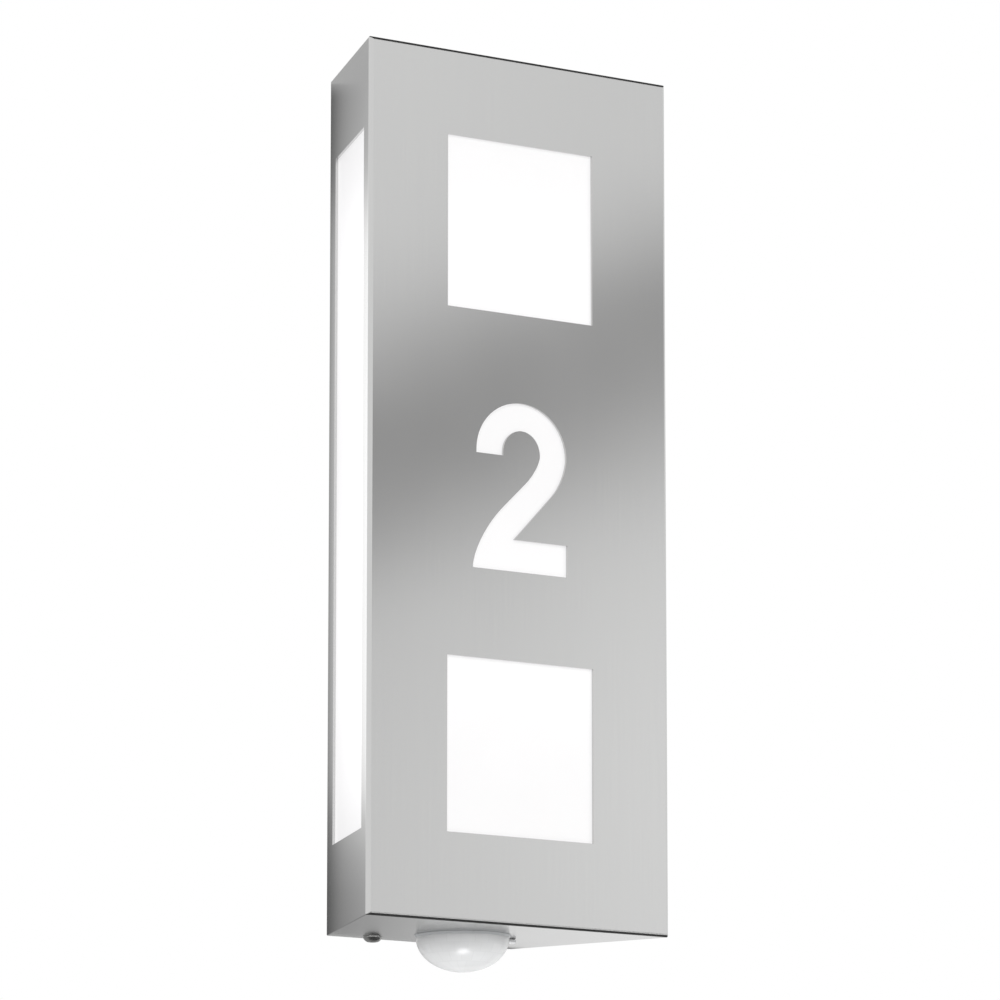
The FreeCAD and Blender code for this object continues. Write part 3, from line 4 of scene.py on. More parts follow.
import bmesh
import bpy
import numpy as np
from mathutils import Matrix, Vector

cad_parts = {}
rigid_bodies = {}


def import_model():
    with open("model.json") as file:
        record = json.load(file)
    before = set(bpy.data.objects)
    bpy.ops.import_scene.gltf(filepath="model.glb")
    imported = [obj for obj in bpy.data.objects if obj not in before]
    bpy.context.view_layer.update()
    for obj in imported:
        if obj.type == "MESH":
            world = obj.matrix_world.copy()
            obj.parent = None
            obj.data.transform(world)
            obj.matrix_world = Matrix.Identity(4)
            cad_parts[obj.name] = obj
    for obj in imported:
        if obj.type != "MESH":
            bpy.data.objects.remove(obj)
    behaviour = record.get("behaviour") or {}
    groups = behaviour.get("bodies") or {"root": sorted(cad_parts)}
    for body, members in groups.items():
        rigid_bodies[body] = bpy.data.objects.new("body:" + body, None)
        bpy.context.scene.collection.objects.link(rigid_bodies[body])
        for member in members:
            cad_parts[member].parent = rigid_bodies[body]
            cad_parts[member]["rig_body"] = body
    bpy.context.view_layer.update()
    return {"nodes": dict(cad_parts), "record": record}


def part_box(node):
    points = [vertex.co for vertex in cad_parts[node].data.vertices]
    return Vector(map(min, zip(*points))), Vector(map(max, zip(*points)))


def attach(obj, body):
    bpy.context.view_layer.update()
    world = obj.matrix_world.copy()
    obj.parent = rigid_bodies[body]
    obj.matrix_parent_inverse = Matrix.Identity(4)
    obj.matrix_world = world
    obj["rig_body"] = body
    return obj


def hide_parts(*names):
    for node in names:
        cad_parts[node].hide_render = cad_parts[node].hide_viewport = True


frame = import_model()
CAD = frame["nodes"]

# Looks of an illuminated house number sign. Sizes are millimetres, as in the CAD, until a mesh is
# made; the camera, the lamps and the stage are in metres.
MM = 0.001
X_AXIS, Y_AXIS, Z_AXIS = np.eye(3)


# ---- camera -----------------------------------------------------------------------------------
CAMERA_PLACE = Vector((-1.5655, -2.3668, -0.5091))
CAMERA_WAY = Vector((0.5535, 0.8134, 0.1789)).normalized()
SENSOR_WIDTH = 36.0
PHOTO_SIZE = 1000
FOCUS_PIXELS = 6193        # the lens, in pixels of the photograph
CLIP_END = 200

camera_data = bpy.data.cameras.new("camera")
camera_data.sensor_width = SENSOR_WIDTH
camera_data.lens = FOCUS_PIXELS * SENSOR_WIDTH / PHOTO_SIZE
camera_data.clip_end = CLIP_END
camera = bpy.data.objects.new("camera", camera_data)
camera.location = CAMERA_PLACE
camera.rotation_euler = CAMERA_WAY.to_track_quat("-Z", "Y").to_euler()
bpy.context.scene.collection.objects.link(camera)
bpy.context.scene.camera = camera
bpy.context.scene.view_settings.view_transform = "Standard"


# ---- places read from the CAD -----------------------------------------------------------------
def box_mm(name):
    """A CAD node's lowest and highest corners, in millimetres."""
    low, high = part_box(name)
    return np.array(low) / MM, np.array(high) / MM


def middle_mm(name):
    """The middle of a CAD node's box, in millimetres."""
    low, high = box_mm(name)
    return (low + high) / 2


# ---- material helpers -------------------------------------------------------------------------
NOISE_LOW, NOISE_HIGH = 0.3, 0.7        # nearly all of a noise lies between these


def linear(colour):
    """Linear values of an sRGB hex colour: c / 12.92 when dark, else ((c + 0.055) / 1.055) ^ 2.4."""
    parts = [int(colour[k:k + 2], 16) / 255 for k in (1, 3, 5)]
    return tuple(c / 12.92 if c <= 0.04045 else ((c + 0.055) / 1.055) ** 2.4 for c in parts) + (1,)


def node(tree, kind, values=None, **settings):
    """Add one shader node, set it up, and give each named socket a number or a link."""
    made = tree.nodes.new("ShaderNode" + kind)
    for setting, value in settings.items():
        setattr(made, setting, value)
    for name, value in (values or {}).items():
        socket = made.inputs[name]
        if isinstance(value, bpy.types.NodeSocket):
            tree.links.new(value, socket)
        else:
            socket.default_value = value
    return made


def finish(name, **constants):
    """A new material with one Principled shader; constants go straight onto its sockets."""
    material = bpy.data.materials.new(name)
    material.use_nodes = True
    tree = material.node_tree
    shader = tree.nodes["Principled BSDF"]
    for socket, value in constants.items():
        shader.inputs[socket.replace("_", " ")].default_value = value
    return material, tree, shader


def pattern(tree, across, along=None, detail=2.0):
    """Noise over Object coordinates; its grain is `across` mm wide, and `along` mm high."""
    place = node(tree, "TexCoord").outputs["Object"]
    grains = (1 / (across * MM), 1 / (across * MM), 1 / ((along or across) * MM))
    laid = node(tree, "Mapping", {"Vector": place, "Scale": grains})
    return node(tree, "TexNoise", {"Vector": laid.outputs["Vector"], "Scale": 1.0,
                                   "Detail": detail}).outputs["Fac"]


def lay(tree, shader, tone=None, relief=None, **sockets):
    """Lay patterns on a shader.

    tone is (pattern, first colour, second colour); relief is (height, its real depth in mm). Any
    other socket takes an output as it is, or (noise, low, high), which spreads the noise."""
    if tone:
        source, first, second = tone
        mix = node(tree, "Mix", {"Factor": source, "A": linear(first), "B": linear(second)},
                   data_type="RGBA")
        sockets["Base Color"] = mix.outputs["Result"]
    if relief:
        height, depth = relief
        bump = node(tree, "Bump", {"Height": height, "Distance": depth * MM, "Strength": 1.0})
        sockets["Normal"] = bump.outputs["Normal"]
    for socket, source in sockets.items():
        if isinstance(source, tuple):
            source, low, high = source
            source = node(tree, "MapRange", {
                "Value": source, "From Min": NOISE_LOW, "From Max": NOISE_HIGH,
                "To Min": low, "To Max": high}).outputs["Result"]
        tree.links.new(source, shader.inputs[socket.replace("_", " ")])


# ---- materials --------------------------------------------------------------------------------
def stainless_sheet():
    """Stainless steel sheet, belt-brushed along its length: soft mirror, fine upright lines.

    The real lines are about 0.1 mm apart; they are drawn at 0.45 mm so that they show."""
    material, tree, shader = finish("brushed_stainless_sheet", Metallic=1.0)
    lines = pattern(tree, 0.45, 45, detail=3.0)
    lay(tree, shader, tone=(lines, "#C9C9C9", "#CDCDCC"), relief=(lines, 0.0005),
        Roughness=(pattern(tree, 60, detail=1.0), 0.14, 0.17))
    return material


BULB_MIDDLES = (95.0, -67.0)        # heights of the two bulbs' middles
GLOW_LOW, GLOW_HIGH = 0.62, 0.66


def opal_acrylic():
    """Cast opal acrylic, lit from behind: an even white glow, a little stronger by the lamps.

    Its own white is written low, because the glow carries most of what the eye sees. The glow is
    highest where cos(2 pi (z - middle) / apart) is -1, which is at both bulbs."""
    material, tree, shader = finish("opal_acrylic_lit", Roughness=0.25, IOR=1.49,
                                    Emission_Color=linear("#FEFDFF"))
    place = node(tree, "SeparateXYZ", {"Vector": node(tree, "TexCoord").outputs["Object"]})
    middle = sum(BULB_MIDDLES) / 2 * MM
    apart = (BULB_MIDDLES[0] - BULB_MIDDLES[1]) * MM
    rise = node(tree, "Math", {0: place.outputs["Z"], 1: middle}, operation="SUBTRACT")
    swell = node(tree, "Math", {0: rise.outputs[0], 1: tau / apart}, operation="MULTIPLY")
    wave = node(tree, "Math", {0: swell.outputs[0]}, operation="COSINE")
    glow = node(tree, "MapRange", {"Value": wave.outputs[0], "From Min": 1.0, "From Max": -1.0,
                                   "To Min": GLOW_LOW, "To Max": GLOW_HIGH})
    lay(tree, shader, tone=(pattern(tree, 25), "#969694", "#9B9B99"),
        relief=(pattern(tree, 6.0), 0.004), Emission_Strength=glow.outputs["Result"])
    return material


def stainless_fixings():
    """Tumbled stainless screws: soft bright metal, with faint rings left from the tool."""
    material, tree, shader = finish("tumbled_stainless", Metallic=1.0)
    turning = pattern(tree, 0.3, 0.12, detail=1.0)
    lay(tree, shader, tone=(turning, "#B4B4B3", "#C6C6C4"), relief=(turning, 0.002),
        Roughness=(turning, 0.28, 0.36))
    return material


def shaded_socket():
    """Broached socket: dull steel painted dark, which is painted shade standing for the shade deep in
    the hexagon recess.
    """
    material, tree, shader = finish("socket_steel_painted_shade", Metallic=1.0)
    socket_mottle = pattern(tree, 0.5)
    lay(tree, shader, tone=(socket_mottle, "#35363A", "#4C4D50"), relief=(socket_mottle, 0.01),
        Roughness=(socket_mottle, 0.4, 0.55))
    return material


FACETS_ROUND, FACET_HEIGHT, FACET_SEAM = 20, 4.0, 0.06


def lens_polyethylene():
    """Milky polyethylene lens: soft white and satin, light goes in a little way.

    Its inner facets, 20 round and 4 mm high, show through the wall as faint bricks of tone."""
    material, tree, shader = finish("milky_polyethylene_lens", IOR=1.51, Subsurface_Weight=0.35,
                                    Subsurface_Radius=(0.004, 0.004, 0.0038), Subsurface_Scale=1.0)
    axis = tuple(middle_mm("sensor_lens") * MM)
    place = node(tree, "VectorMath", {0: node(tree, "TexCoord").outputs["Object"], 1: axis},
                 operation="SUBTRACT")
    x, y, z = node(tree, "SeparateXYZ", {"Vector": place.outputs["Vector"]}).outputs
    turn = node(tree, "Math", {0: y, 1: x}, operation="ARCTAN2").outputs[0]
    around = node(tree, "Math", {0: turn, 1: FACETS_ROUND / tau}, operation="MULTIPLY").outputs[0]
    up = node(tree, "Math", {0: z, 1: 1 / (FACET_HEIGHT * MM)}, operation="MULTIPLY").outputs[0]
    wrapped = node(tree, "CombineXYZ", {"X": around, "Y": up}).outputs["Vector"]
    facets = node(tree, "TexBrick", {
        "Vector": wrapped, "Scale": 1.0, "Brick Width": 1.0, "Row Height": 1.0,
        "Mortar Size": FACET_SEAM, "Mortar Smooth": 1.0, "Color1": linear("#E5E6E6"),
        "Color2": linear("#E9EAEA"), "Mortar": linear("#E3E4E4")})
    lay(tree, shader, relief=(pattern(tree, 1.2, detail=1.0), 0.0008),
        Base_Color=facets.outputs["Color"], Roughness=(pattern(tree, 3.0), 0.21, 0.27))
    return material


SPANGLE = 3.5              # mm, a zinc crystal


def zinc_steel():
    """Bright zinc-plated steel: bluish grey with a fine spangle and dull patches."""
    material, tree, shader = finish("zinc_plated_steel", Metallic=1.0)
    place = node(tree, "TexCoord").outputs["Object"]
    crystals = node(tree, "TexVoronoi", {"Vector": place, "Scale": 1 / (SPANGLE * MM)})
    tone = node(tree, "SeparateXYZ", {"Vector": crystals.outputs["Color"]}).outputs["X"]
    lay(tree, shader, tone=(tone, "#AEB3B8", "#C0C4C6"), relief=(pattern(tree, 0.8), 0.004),
        Roughness=(pattern(tree, 12), 0.3, 0.42))
    return material


def green_yellow_lead():
    """Silicone lead for the earth: green with one yellow stripe along its right side."""
    material, tree, shader = finish("green_yellow_silicone_lead", IOR=1.42)
    place = node(tree, "TexCoord").outputs["Object"]
    middle = middle_mm("earth_stud")[0] * MM
    shifted = node(tree, "VectorMath", {0: place, 1: (-middle, 0, 0)}, operation="ADD")
    across = node(tree, "SeparateXYZ", {"Vector": shifted.outputs[0]}).outputs["X"]
    stripe = node(tree, "Math", {0: across, 1: 0.0}, operation="GREATER_THAN")
    lay(tree, shader, tone=(stripe.outputs[0], "#2E7D3A", "#E2C51F"),
        relief=(pattern(tree, 0.4), 0.004), Roughness=(pattern(tree, 2), 0.4, 0.5))
    return material


TRACKS_A_METRE, TRACK_GAP = 120.0, 0.03


def circuit_board():
    """Glass-epoxy board under green solder resist, with paler tracks beneath it."""
    material, tree, shader = finish("green_circuit_board", Roughness=0.32)
    place = node(tree, "TexCoord").outputs["Object"]
    tracks = node(tree, "TexBrick", {
        "Vector": place, "Scale": TRACKS_A_METRE, "Mortar Size": TRACK_GAP,
        "Color1": linear("#0E5A30"), "Color2": linear("#116438"), "Mortar": linear("#2A8550")})
    lay(tree, shader, relief=(tracks.outputs["Fac"], 0.03), Base_Color=tracks.outputs["Color"])
    return material


def lit_lamp():
    """Opal lamp glass with the light on: warm white, soft, not clipped, so that it stays round."""
    material, tree, shader = finish("opal_lamp_lit", Roughness=0.18, IOR=1.5,
                                    Emission_Color=linear("#FFF5E2"))
    soft = pattern(tree, 30)
    lay(tree, shader, tone=(soft, "#BEBDB8", "#C6C5C0"), Emission_Strength=(soft, 0.46, 0.52))
    return material


def bright_metal(name, dark, light, roughness):
    """Drawn or plated metal: tone varies in 1.6 mm patches, and polish in 5 mm ones, from 0.05
    smoother to 0.06 rougher than the value given."""
    material, tree, shader = finish(name, Metallic=1.0)
    patches = pattern(tree, 1.6)
    lay(tree, shader, tone=(patches, dark, light), relief=(patches, 0.002),
        Roughness=(pattern(tree, 5), roughness - 0.05, roughness + 0.06))
    return material


def moulded(name, dark, light, roughness, grain, depth):
    """Moulded plastic: 9 mm clouds of tone, the mould's fine grain as relief, and a satin that
    runs from 0.05 smoother to 0.07 rougher than the value given, in patches 6 grains wide."""
    material, tree, shader = finish(name)
    lay(tree, shader, tone=(pattern(tree, 9.0), dark, light),
        relief=(pattern(tree, grain, detail=1.0), depth),
        Roughness=(pattern(tree, grain * 6), roughness - 0.05, roughness + 0.07))
    return material


FINISH = {
    "stainless_sheet": stainless_sheet(),
    "opal_acrylic": opal_acrylic(),
    "stainless_fixings": stainless_fixings(),
    "lens_polyethylene": lens_polyethylene(),
    # Satin polycarbonate ring round the lens: pale grey, with painted shade that makes it a shade
    # darker than the lens, for the shade it sits in under the sheet.
    "sensor_trim": moulded("satin_polycarbonate_trim", "#BABCBE", "#C4C6C8", 0.3, 0.5, 0.001),
    # EPDM rubber: near black, dull, slightly dusty.
    "seal_rubber": moulded("black_epdm_rubber", "#17181A", "#232426", 0.72, 0.3, 0.02),
    # ABS box of the sensor: light grey with a visible moulded grain.
    "sensor_case": moulded("moulded_abs_case", "#D2D2CF", "#DBDBD8", 0.42, 0.45, 0.012),
    "circuit_board": circuit_board(),
    # Nickel-plated can of the detector: warm, nearly polished metal.
    "detector_can": bright_metal("nickel_plated_can", "#BDBBB4", "#CDCBC4", 0.22),
    # PBT relay box: deep blue, half glossy.
    "relay_case": moulded("blue_pbt_relay", "#1B3E7C", "#23498C", 0.35, 0.4, 0.006),
    # Nylon knobs: nearly white and smooth.
    "trimmer_plastic": moulded("nylon_setting_knob", "#E0E1E2", "#EAEBEC", 0.36, 0.4, 0.004),
    # PVC jacket: flat mid grey.
    "lead_grey": moulded("grey_pvc_lead", "#5C5D5F", "#67686A", 0.48, 0.6, 0.006),
    # Uncoloured nylon: creamy white.
    "plug_plastic": moulded("natural_nylon_plug", "#DEDBD0", "#E8E5DB", 0.4, 0.4, 0.008),
    "zinc_steel": zinc_steel(),
    # Polyamide block: off white, with a dry satin.
    "block_plastic": moulded("white_polyamide_block", "#D8D7D1", "#E2E1DB", 0.45, 0.5, 0.01),
    # Drawn brass: warm yellow with soft streaks of shine.
    "brass": bright_metal("drawn_brass", "#C9A04C", "#DAB768", 0.24),
    # Silicone leads: even, slightly rubbery colour.
    "lead_brown": moulded("brown_silicone_lead", "#5B3520", "#683E27", 0.45, 0.5, 0.005),
    "lead_blue": moulded("blue_silicone_lead", "#2C5DA8", "#376AB5", 0.45, 0.5, 0.005),
    "lead_green_yellow": green_yellow_lead(),
    # Phenolic holder: ivory, smooth and a little shiny.
    "holder_plastic": moulded("ivory_phenolic_holder", "#DEDACD", "#E7E3D7", 0.38, 0.6, 0.006),
    "lamp_opal": lit_lamp(),
    # PBT body of the lamp: clean satin white.
    "lamp_body": moulded("white_pbt_lamp_body", "#E6E6E3", "#EFEFEC", 0.4, 0.5, 0.006),
    # Nickel over brass: warm bright screw cap.
    "lamp_cap_metal": bright_metal("nickel_plated_brass_cap", "#BFBCB4", "#D0CDC6", 0.2),
    # Black glass between cap and contact: deep black with sharp shine.
    "lamp_tip_glass": moulded("black_glass_insulator", "#0D0D0F", "#16161A", 0.14, 0.8, 0.002),
}

SLOT_OF = {row["node"]: row["material_slot"] for row in frame["record"]["subparts"]}


# ---- surfaces ---------------------------------------------------------------------------------
MERGE_WITHIN = 1e-6        # metres


def squares(rows, cols, wrap_rows, wrap_cols):
    """Corner numbers of a grid's squares: a point, its neighbour, and the two in the next row."""
    i = np.arange(rows if wrap_rows else rows - 1)[:, None]
    j = np.arange(cols if wrap_cols else cols - 1)[None, :]
    down, beside = (i + 1) % rows, (j + 1) % cols
    corners = (i * cols + j, i * cols + beside, down * cols + beside, down * cols + j)
    return np.stack(np.broadcast_arrays(*corners), -1).reshape(-1, 4)


def dress(name, surfaces, sharp=40, inner=(), inner_finish=None):
    """One closed piece made of grids; it takes its node's body, finish and slot.

    Points closer than a micron are merged, which closes poles, and faces turned outwards.
    The inner grids join the others edge to edge and have a finish of their own."""
    corners, faces, start = [], [], 0
    for points, wrap_rows, wrap_cols in [*surfaces, *inner]:
        rows, cols = points.shape[:2]
        corners.append(points.reshape(-1, 3) * MM)
        faces.append(squares(rows, cols, wrap_rows, wrap_cols) + start)
        start += rows * cols
    mesh = bpy.data.meshes.new(name + "_fine")
    mesh.from_pydata(np.concatenate(corners).tolist(), [], np.concatenate(faces).tolist())
    outer_faces = sum(len(part) for part in faces[:len(surfaces)])
    in_socket = (np.arange(len(mesh.polygons)) >= outer_faces).astype(np.int32)
    mesh.polygons.foreach_set("material_index", in_socket)
    work = bmesh.new()
    work.from_mesh(mesh)
    bmesh.ops.remove_doubles(work, verts=work.verts, dist=MERGE_WITHIN)
    bmesh.ops.recalc_face_normals(work, faces=work.faces)
    work.to_mesh(mesh)
    work.free()
    mesh.shade_smooth()
    mesh.set_sharp_from_angle(angle=radians(sharp))
    piece = bpy.data.objects.new(name + "_fine", mesh)
    bpy.context.scene.collection.objects.link(piece)
    mesh.materials.append(FINISH[SLOT_OF[name]])
    if inner:
        mesh.materials.append(inner_finish)
    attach(piece, CAD[name]["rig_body"])
    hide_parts(name)
    return piece


def angles(around):
    """Even turns round an axis, as a column."""
    return np.linspace(0, tau, around, endpoint=False)[:, None]


def turned(outline, around=64, ring=False, cut=0.0, pitch=1.0):
    """An outline of (radius, height) carried round Z: (r cos a, r sin a, h).

    A thread takes cut * (0.5 + 0.5 cos(2 pi h / pitch - a)) off the radius."""
    radius, height = np.asarray(outline, float).T
    turn = angles(around)
    reach = radius - np.asarray(cut) * (0.5 + 0.5 * np.cos(tau * height / pitch - turn))
    points = np.stack([reach * np.cos(turn), reach * np.sin(turn), height + 0 * turn], -1)
    return points, True, ring


def eased(outline, radius, ring=False, steps=5):
    """An outline with its corners rounded: at each corner C a curve from A to B, which lie
    `radius` along its two sides, or 0.45 of a short side: (1-t)^2 A + 2t(1-t) C + t^2 B."""
    corner = np.asarray(outline, float)

    def beside(other):
        way = other - corner
        far = np.maximum(np.linalg.norm(way, axis=1, keepdims=True), 1e-9)
        return (corner + way * np.minimum(radius / far, 0.45))[:, None]

    t = np.linspace(0, 1, steps)[None, :, None]
    start, end = beside(np.roll(corner, 1, 0)), beside(np.roll(corner, -1, 0))
    curve = (1 - t) ** 2 * start + 2 * t * (1 - t) * corner[:, None] + t ** 2 * end
    if ring:
        return curve.reshape(-1, 2)
    return np.concatenate([corner[:1], curve[1:-1].reshape(-1, 2), corner[-1:]])


def aimed(surface, base, way=Z_AXIS):
    """Lay a surface made about Z along another direction, its zero at a place."""
    points, wrap_rows, wrap_cols = surface
    way = np.asarray(way, float) / np.linalg.norm(way)
    guide = X_AXIS if abs(way[0]) < 0.9 else Y_AXIS
    side = guide - way * np.dot(guide, way)
    side /= np.linalg.norm(side)
    axes = np.stack([side, np.cross(way, side), way])
    return points @ axes + np.asarray(base, float), wrap_rows, wrap_cols


def hexagon(turn, flats):
    """Radius of a hexagon measured across its flats: half of that over cos(a - nearest middle)."""
    return flats / 2 / np.cos((turn + pi / 6) % (pi / 3) - pi / 6)


NUT_FACE = 0.475           # radius of a nut's flat face, over its width across flats
NUT_SLOPE = tan(radians(30))


def nut(flats, bore, height, around=48):
    """Hexagon nut from zero up: the hexagon's radius, cut at both faces by a 30 degree cone."""
    turn = angles(around)
    drop = (flats / 3 ** 0.5 - NUT_FACE * flats) * NUT_SLOPE
    levels = np.concatenate([np.linspace(0, drop, 4), np.linspace(height - drop, height, 4)])
    cone = NUT_FACE * flats + np.minimum(levels, height - levels) / NUT_SLOPE
    outside = np.minimum(hexagon(turn, flats), cone)
    lips = np.full((around, 1), bore)
    reach = np.concatenate([lips, outside, lips], 1)
    levels = np.concatenate([[0], levels, [height]])
    points = np.stack([reach * np.cos(turn), reach * np.sin(turn), levels + 0 * turn], -1)
    return points, True, True


ROWS_A_TURN = 8
THREAD_DEPTH = 0.32        # of the pitch


def shank(radius, length, pitch):
    """(radius, height) rows and thread depths of a shank that hangs down from zero."""
    count = int(length / pitch * ROWS_A_TURN)
    levels = -np.linspace(0, length, count)
    runout = np.minimum(1, np.arange(count)[::-1] / ROWS_A_TURN)
    return np.stack([np.full(count, radius), levels], 1), THREAD_DEPTH * pitch * runout


def slotted(surface, width, depth, reach, floor, cross=False):
    """Press a slot, or a cross, into a head: points above `floor` that lie within half the
    width of the slot's middle line, and within `reach` of the axis, go down by the depth."""
    points, wrap_rows, wrap_cols = surface
    x, y, z = np.moveaxis(points.copy(), -1, 0)
    line = np.minimum(abs(x), abs(y)) if cross else abs(y)
    inside = (line < width / 2) & (np.hypot(x, y) < reach) & (z > floor)
    return np.stack([x, y, np.where(inside, z - depth, z)], -1), wrap_rows, wrap_cols


PAN_PITCH = 0.7


def pan_screw(radius, length, head_radius, head):
    """Pan-head screw about Z: flat-topped dome h (1 - 0.3 (r/R)^6), cross, threaded shank.

    The cross is 0.28 R wide and 0.55 h deep, and reaches 0.62 R from the axis."""
    out = np.linspace(0, 1, 15)
    dome = np.stack([out * head_radius, head * (1 - 0.3 * out ** 6)], 1)
    rows, depth = shank(radius, length, PAN_PITCH)
    outline = np.concatenate([dome, [[head_radius, 0]], rows, [[0, -length]]])
    cut = np.concatenate([np.zeros(len(dome) + 1), depth, [0]])
    return slotted(turned(outline, 48, cut=cut, pitch=PAN_PITCH), width=0.28 * head_radius,
                   depth=0.55 * head, reach=0.62 * head_radius, floor=0.5 * head, cross=True)


def smooth_line(route):
    """Points of the quadratic NURBS spline that has the route's points for its controls."""
    curve = bpy.data.curves.new("route", "CURVE")
    curve.dimensions = "3D"
    curve.resolution_u = 10
    spline = curve.splines.new("NURBS")
    spline.points.add(len(route) - 1)
    spline.points.foreach_set("co", np.c_[np.asarray(route, float), np.ones(len(route))].ravel())
    spline.order_u = 3
    spline.use_endpoint_u = True
    holder = bpy.data.objects.new("route", curve)
    mesh = bpy.data.meshes.new_from_object(holder)
    line = np.zeros(len(mesh.vertices) * 3)
    mesh.vertices.foreach_get("co", line)
    bpy.data.objects.remove(holder)
    bpy.data.curves.remove(curve)
    bpy.data.meshes.remove(mesh)
    return line.reshape(-1, 3)


def swept(route, radius, around=20):
    """A round section carried along a smooth line: P + r (N cos a + B sin a), where N is
    square to the line and to X, and B to both. Both ends close on the line."""
    line = smooth_line(route)
    way = np.gradient(line, axis=0)
    way /= np.linalg.norm(way, axis=1, keepdims=True)
    side = np.cross(way, X_AXIS)
    side /= np.linalg.norm(side, axis=1, keepdims=True)
    other = np.cross(way, side)
    turn = angles(around)[:, 0][None, :, None]
    skin = line[:, None] + radius * (np.cos(turn) * side[:, None] + np.sin(turn) * other[:, None])
    ends = [np.repeat(line[k][None, None], around, 1) for k in (0, -1)]
    return np.concatenate([ends[0], skin, ends[1]]), False, True


# ---- shared places ----------------------------------------------------------------------------
(_, FRONT_Y, FLOOR_Z), _ = box_mm("housing_shell")
SHEET = 1.2
LENS = middle_mm("sensor_bezel")
LENS[2] = FLOOR_Z
UPPER_BASE = np.array([0, middle_mm("upper_lampholder")[1], box_mm("upper_lampholder")[1][2]])
LOWER_BASE = np.array([0, UPPER_BASE[1], box_mm("lower_lampholder")[0][2]])
LAMPS = {"upper": (UPPER_BASE, -Z_AXIS), "lower": (LOWER_BASE, Z_AXIS)}
TO_STREET = -Y_AXIS

# ---- sensor lens, its ring and the setting knobs ----------------------------------------------
LENS_RADIUS, LENS_DROP, LENS_WALL = 21.3, 15.5, 1.0
BEZEL_RADIUS, BEZEL_BORE, BEZEL_FLANGE = 22.2, 18.1, 1.2
LIP_RADIUS, LIP_RISE = 20.0, 1.4       # the part of the ring that stands inside the lens


def dome():
    """Half an oval turned about Z, (R cos b, -D sin b), and the same drawn in for its inside.

    The outline runs from the inside's pole over the rim to the outside's pole."""
    turn = np.linspace(0, pi / 2, 41)
    outside = np.stack([LENS_RADIUS * np.cos(turn), -LENS_DROP * np.sin(turn)], 1)
    back = turn[::-2]
    inside = np.stack([(LENS_RADIUS - LENS_WALL) * np.cos(back),
                       -(LENS_DROP - LENS_WALL) * np.sin(back)], 1)
    outside[-1, 0] = inside[0, 0] = 0
    return np.concatenate([inside, outside])


dress("sensor_lens", [aimed(turned(dome(), 128), LENS - [0, 0, BEZEL_FLANGE])])
flange, lip = -BEZEL_FLANGE, -BEZEL_FLANGE - LIP_RISE
bezel = eased([(BEZEL_BORE, 0), (BEZEL_RADIUS, 0), (LENS_RADIUS + 0.1, flange),
               (LIP_RADIUS, flange), (LIP_RADIUS - 0.2, lip), (BEZEL_BORE, lip)], 0.25, ring=True)
dress("sensor_bezel", [aimed(turned(bezel, 128, ring=True), LENS)])

KNOB_RADIUS, KNOB_HEAD, KNOB_SHAFT, KNOB_EDGE = 2.4, 1.6, 1.5, 0.28


def knob(name):
    """Setting knob: an eased disc with a screwdriver slot, and its shaft going up."""
    low, high = box_mm(name)
    x, y, _ = middle_mm(name)
    out = np.linspace(0, 0.88, 16)
    face = np.stack([out * KNOB_RADIUS, 0 * out], 1)
    end = low[2] - high[2]
    edge = eased([(KNOB_RADIUS - KNOB_EDGE, 0), (KNOB_RADIUS, -KNOB_EDGE), (KNOB_RADIUS, -KNOB_HEAD),
                  (KNOB_SHAFT, -KNOB_HEAD), (KNOB_SHAFT, end), (0, end)], 0.1)
    disc = slotted(turned(np.concatenate([face, edge[1:]]), 96),
                   width=0.75, depth=0.8, reach=2.6, floor=-0.9)
    dress(name, [aimed(disc, (x, y, low[2]), -Z_AXIS)])


for knob_name in ("time_trimmer", "lux_trimmer"):
    knob(knob_name)

# ---- cover screws and the panes' studs and nuts -----------------------------------------------
HEAD_RADIUS, HEAD_RISE, HEAD_EDGE = 4.5, 2.1, 0.3
MOUTH_RADIUS, MOUTH_Z = 1.95, -2.25    # where the dome ends, and the hexagon's edge just above it
SOCKET_FLATS, SOCKET_FLOOR, SOCKET_TIP = 3.0, -0.8, -0.6
COVER_SCREW = {"radius": 2.5, "length": 10.0, "pitch": 0.8}


def button_screw(around=96):
    """Button-head screw about Z, head down, and the skin of its hexagon socket.

    The dome is h = -0.3 - 2.1 (1 - t^2) while r goes from 1.95 to 4.5 with t from 0 to 1; the
    socket's rings follow the hexagon."""
    turn = angles(around)
    t = np.linspace(0, 1, 14)
    dome_rows = np.stack([MOUTH_RADIUS + (HEAD_RADIUS - MOUTH_RADIUS) * t,
                          -HEAD_EDGE - HEAD_RISE * (1 - t ** 2)], 1)
    rows, depth = shank(**COVER_SCREW)
    outline = np.concatenate([[[1, MOUTH_Z]], dome_rows, [[HEAD_RADIUS, 0],
                              [COVER_SCREW["radius"], 0]], rows * [1, -1],
                              [[0, COVER_SCREW["length"]]]])
    cut = np.concatenate([np.zeros(len(t) + 3), depth, [0]])
    body = turned(outline, around, cut=cut, pitch=COVER_SCREW["pitch"])
    socket = turned([(1, MOUTH_Z), (1, SOCKET_FLOOR), (0, SOCKET_TIP)], around)
    spokes = np.concatenate([np.cos(turn), np.sin(turn)], 1)[:, None]
    mouth = spokes * hexagon(turn, SOCKET_FLATS)[..., None]
    body[0][:, :1, :2] = mouth
    socket[0][:, :2, :2] = mouth
    return body, socket


screw_y = middle_mm("housing_screws")[1]
screw_x = box_mm("housing_screws")[1][0] - HEAD_RADIUS
nut_z = box_mm("housing_nuts")[0][2]
screw_body, screw_socket = button_screw()
screw_seats = [(x, screw_y, FLOOR_Z) for x in (-screw_x, screw_x)]
# The screws' hexagon sockets take a dark finish: painted shade in the recess.
dress("housing_screws", [aimed(screw_body, seat) for seat in screw_seats],
      inner=[aimed(screw_socket, seat) for seat in screw_seats], inner_finish=shaded_socket())
dress("housing_nuts", [aimed(nut(flats=8.0, bore=2.55, height=4.0), (x, screw_y, nut_z))
                       for x in (-screw_x, screw_x)])

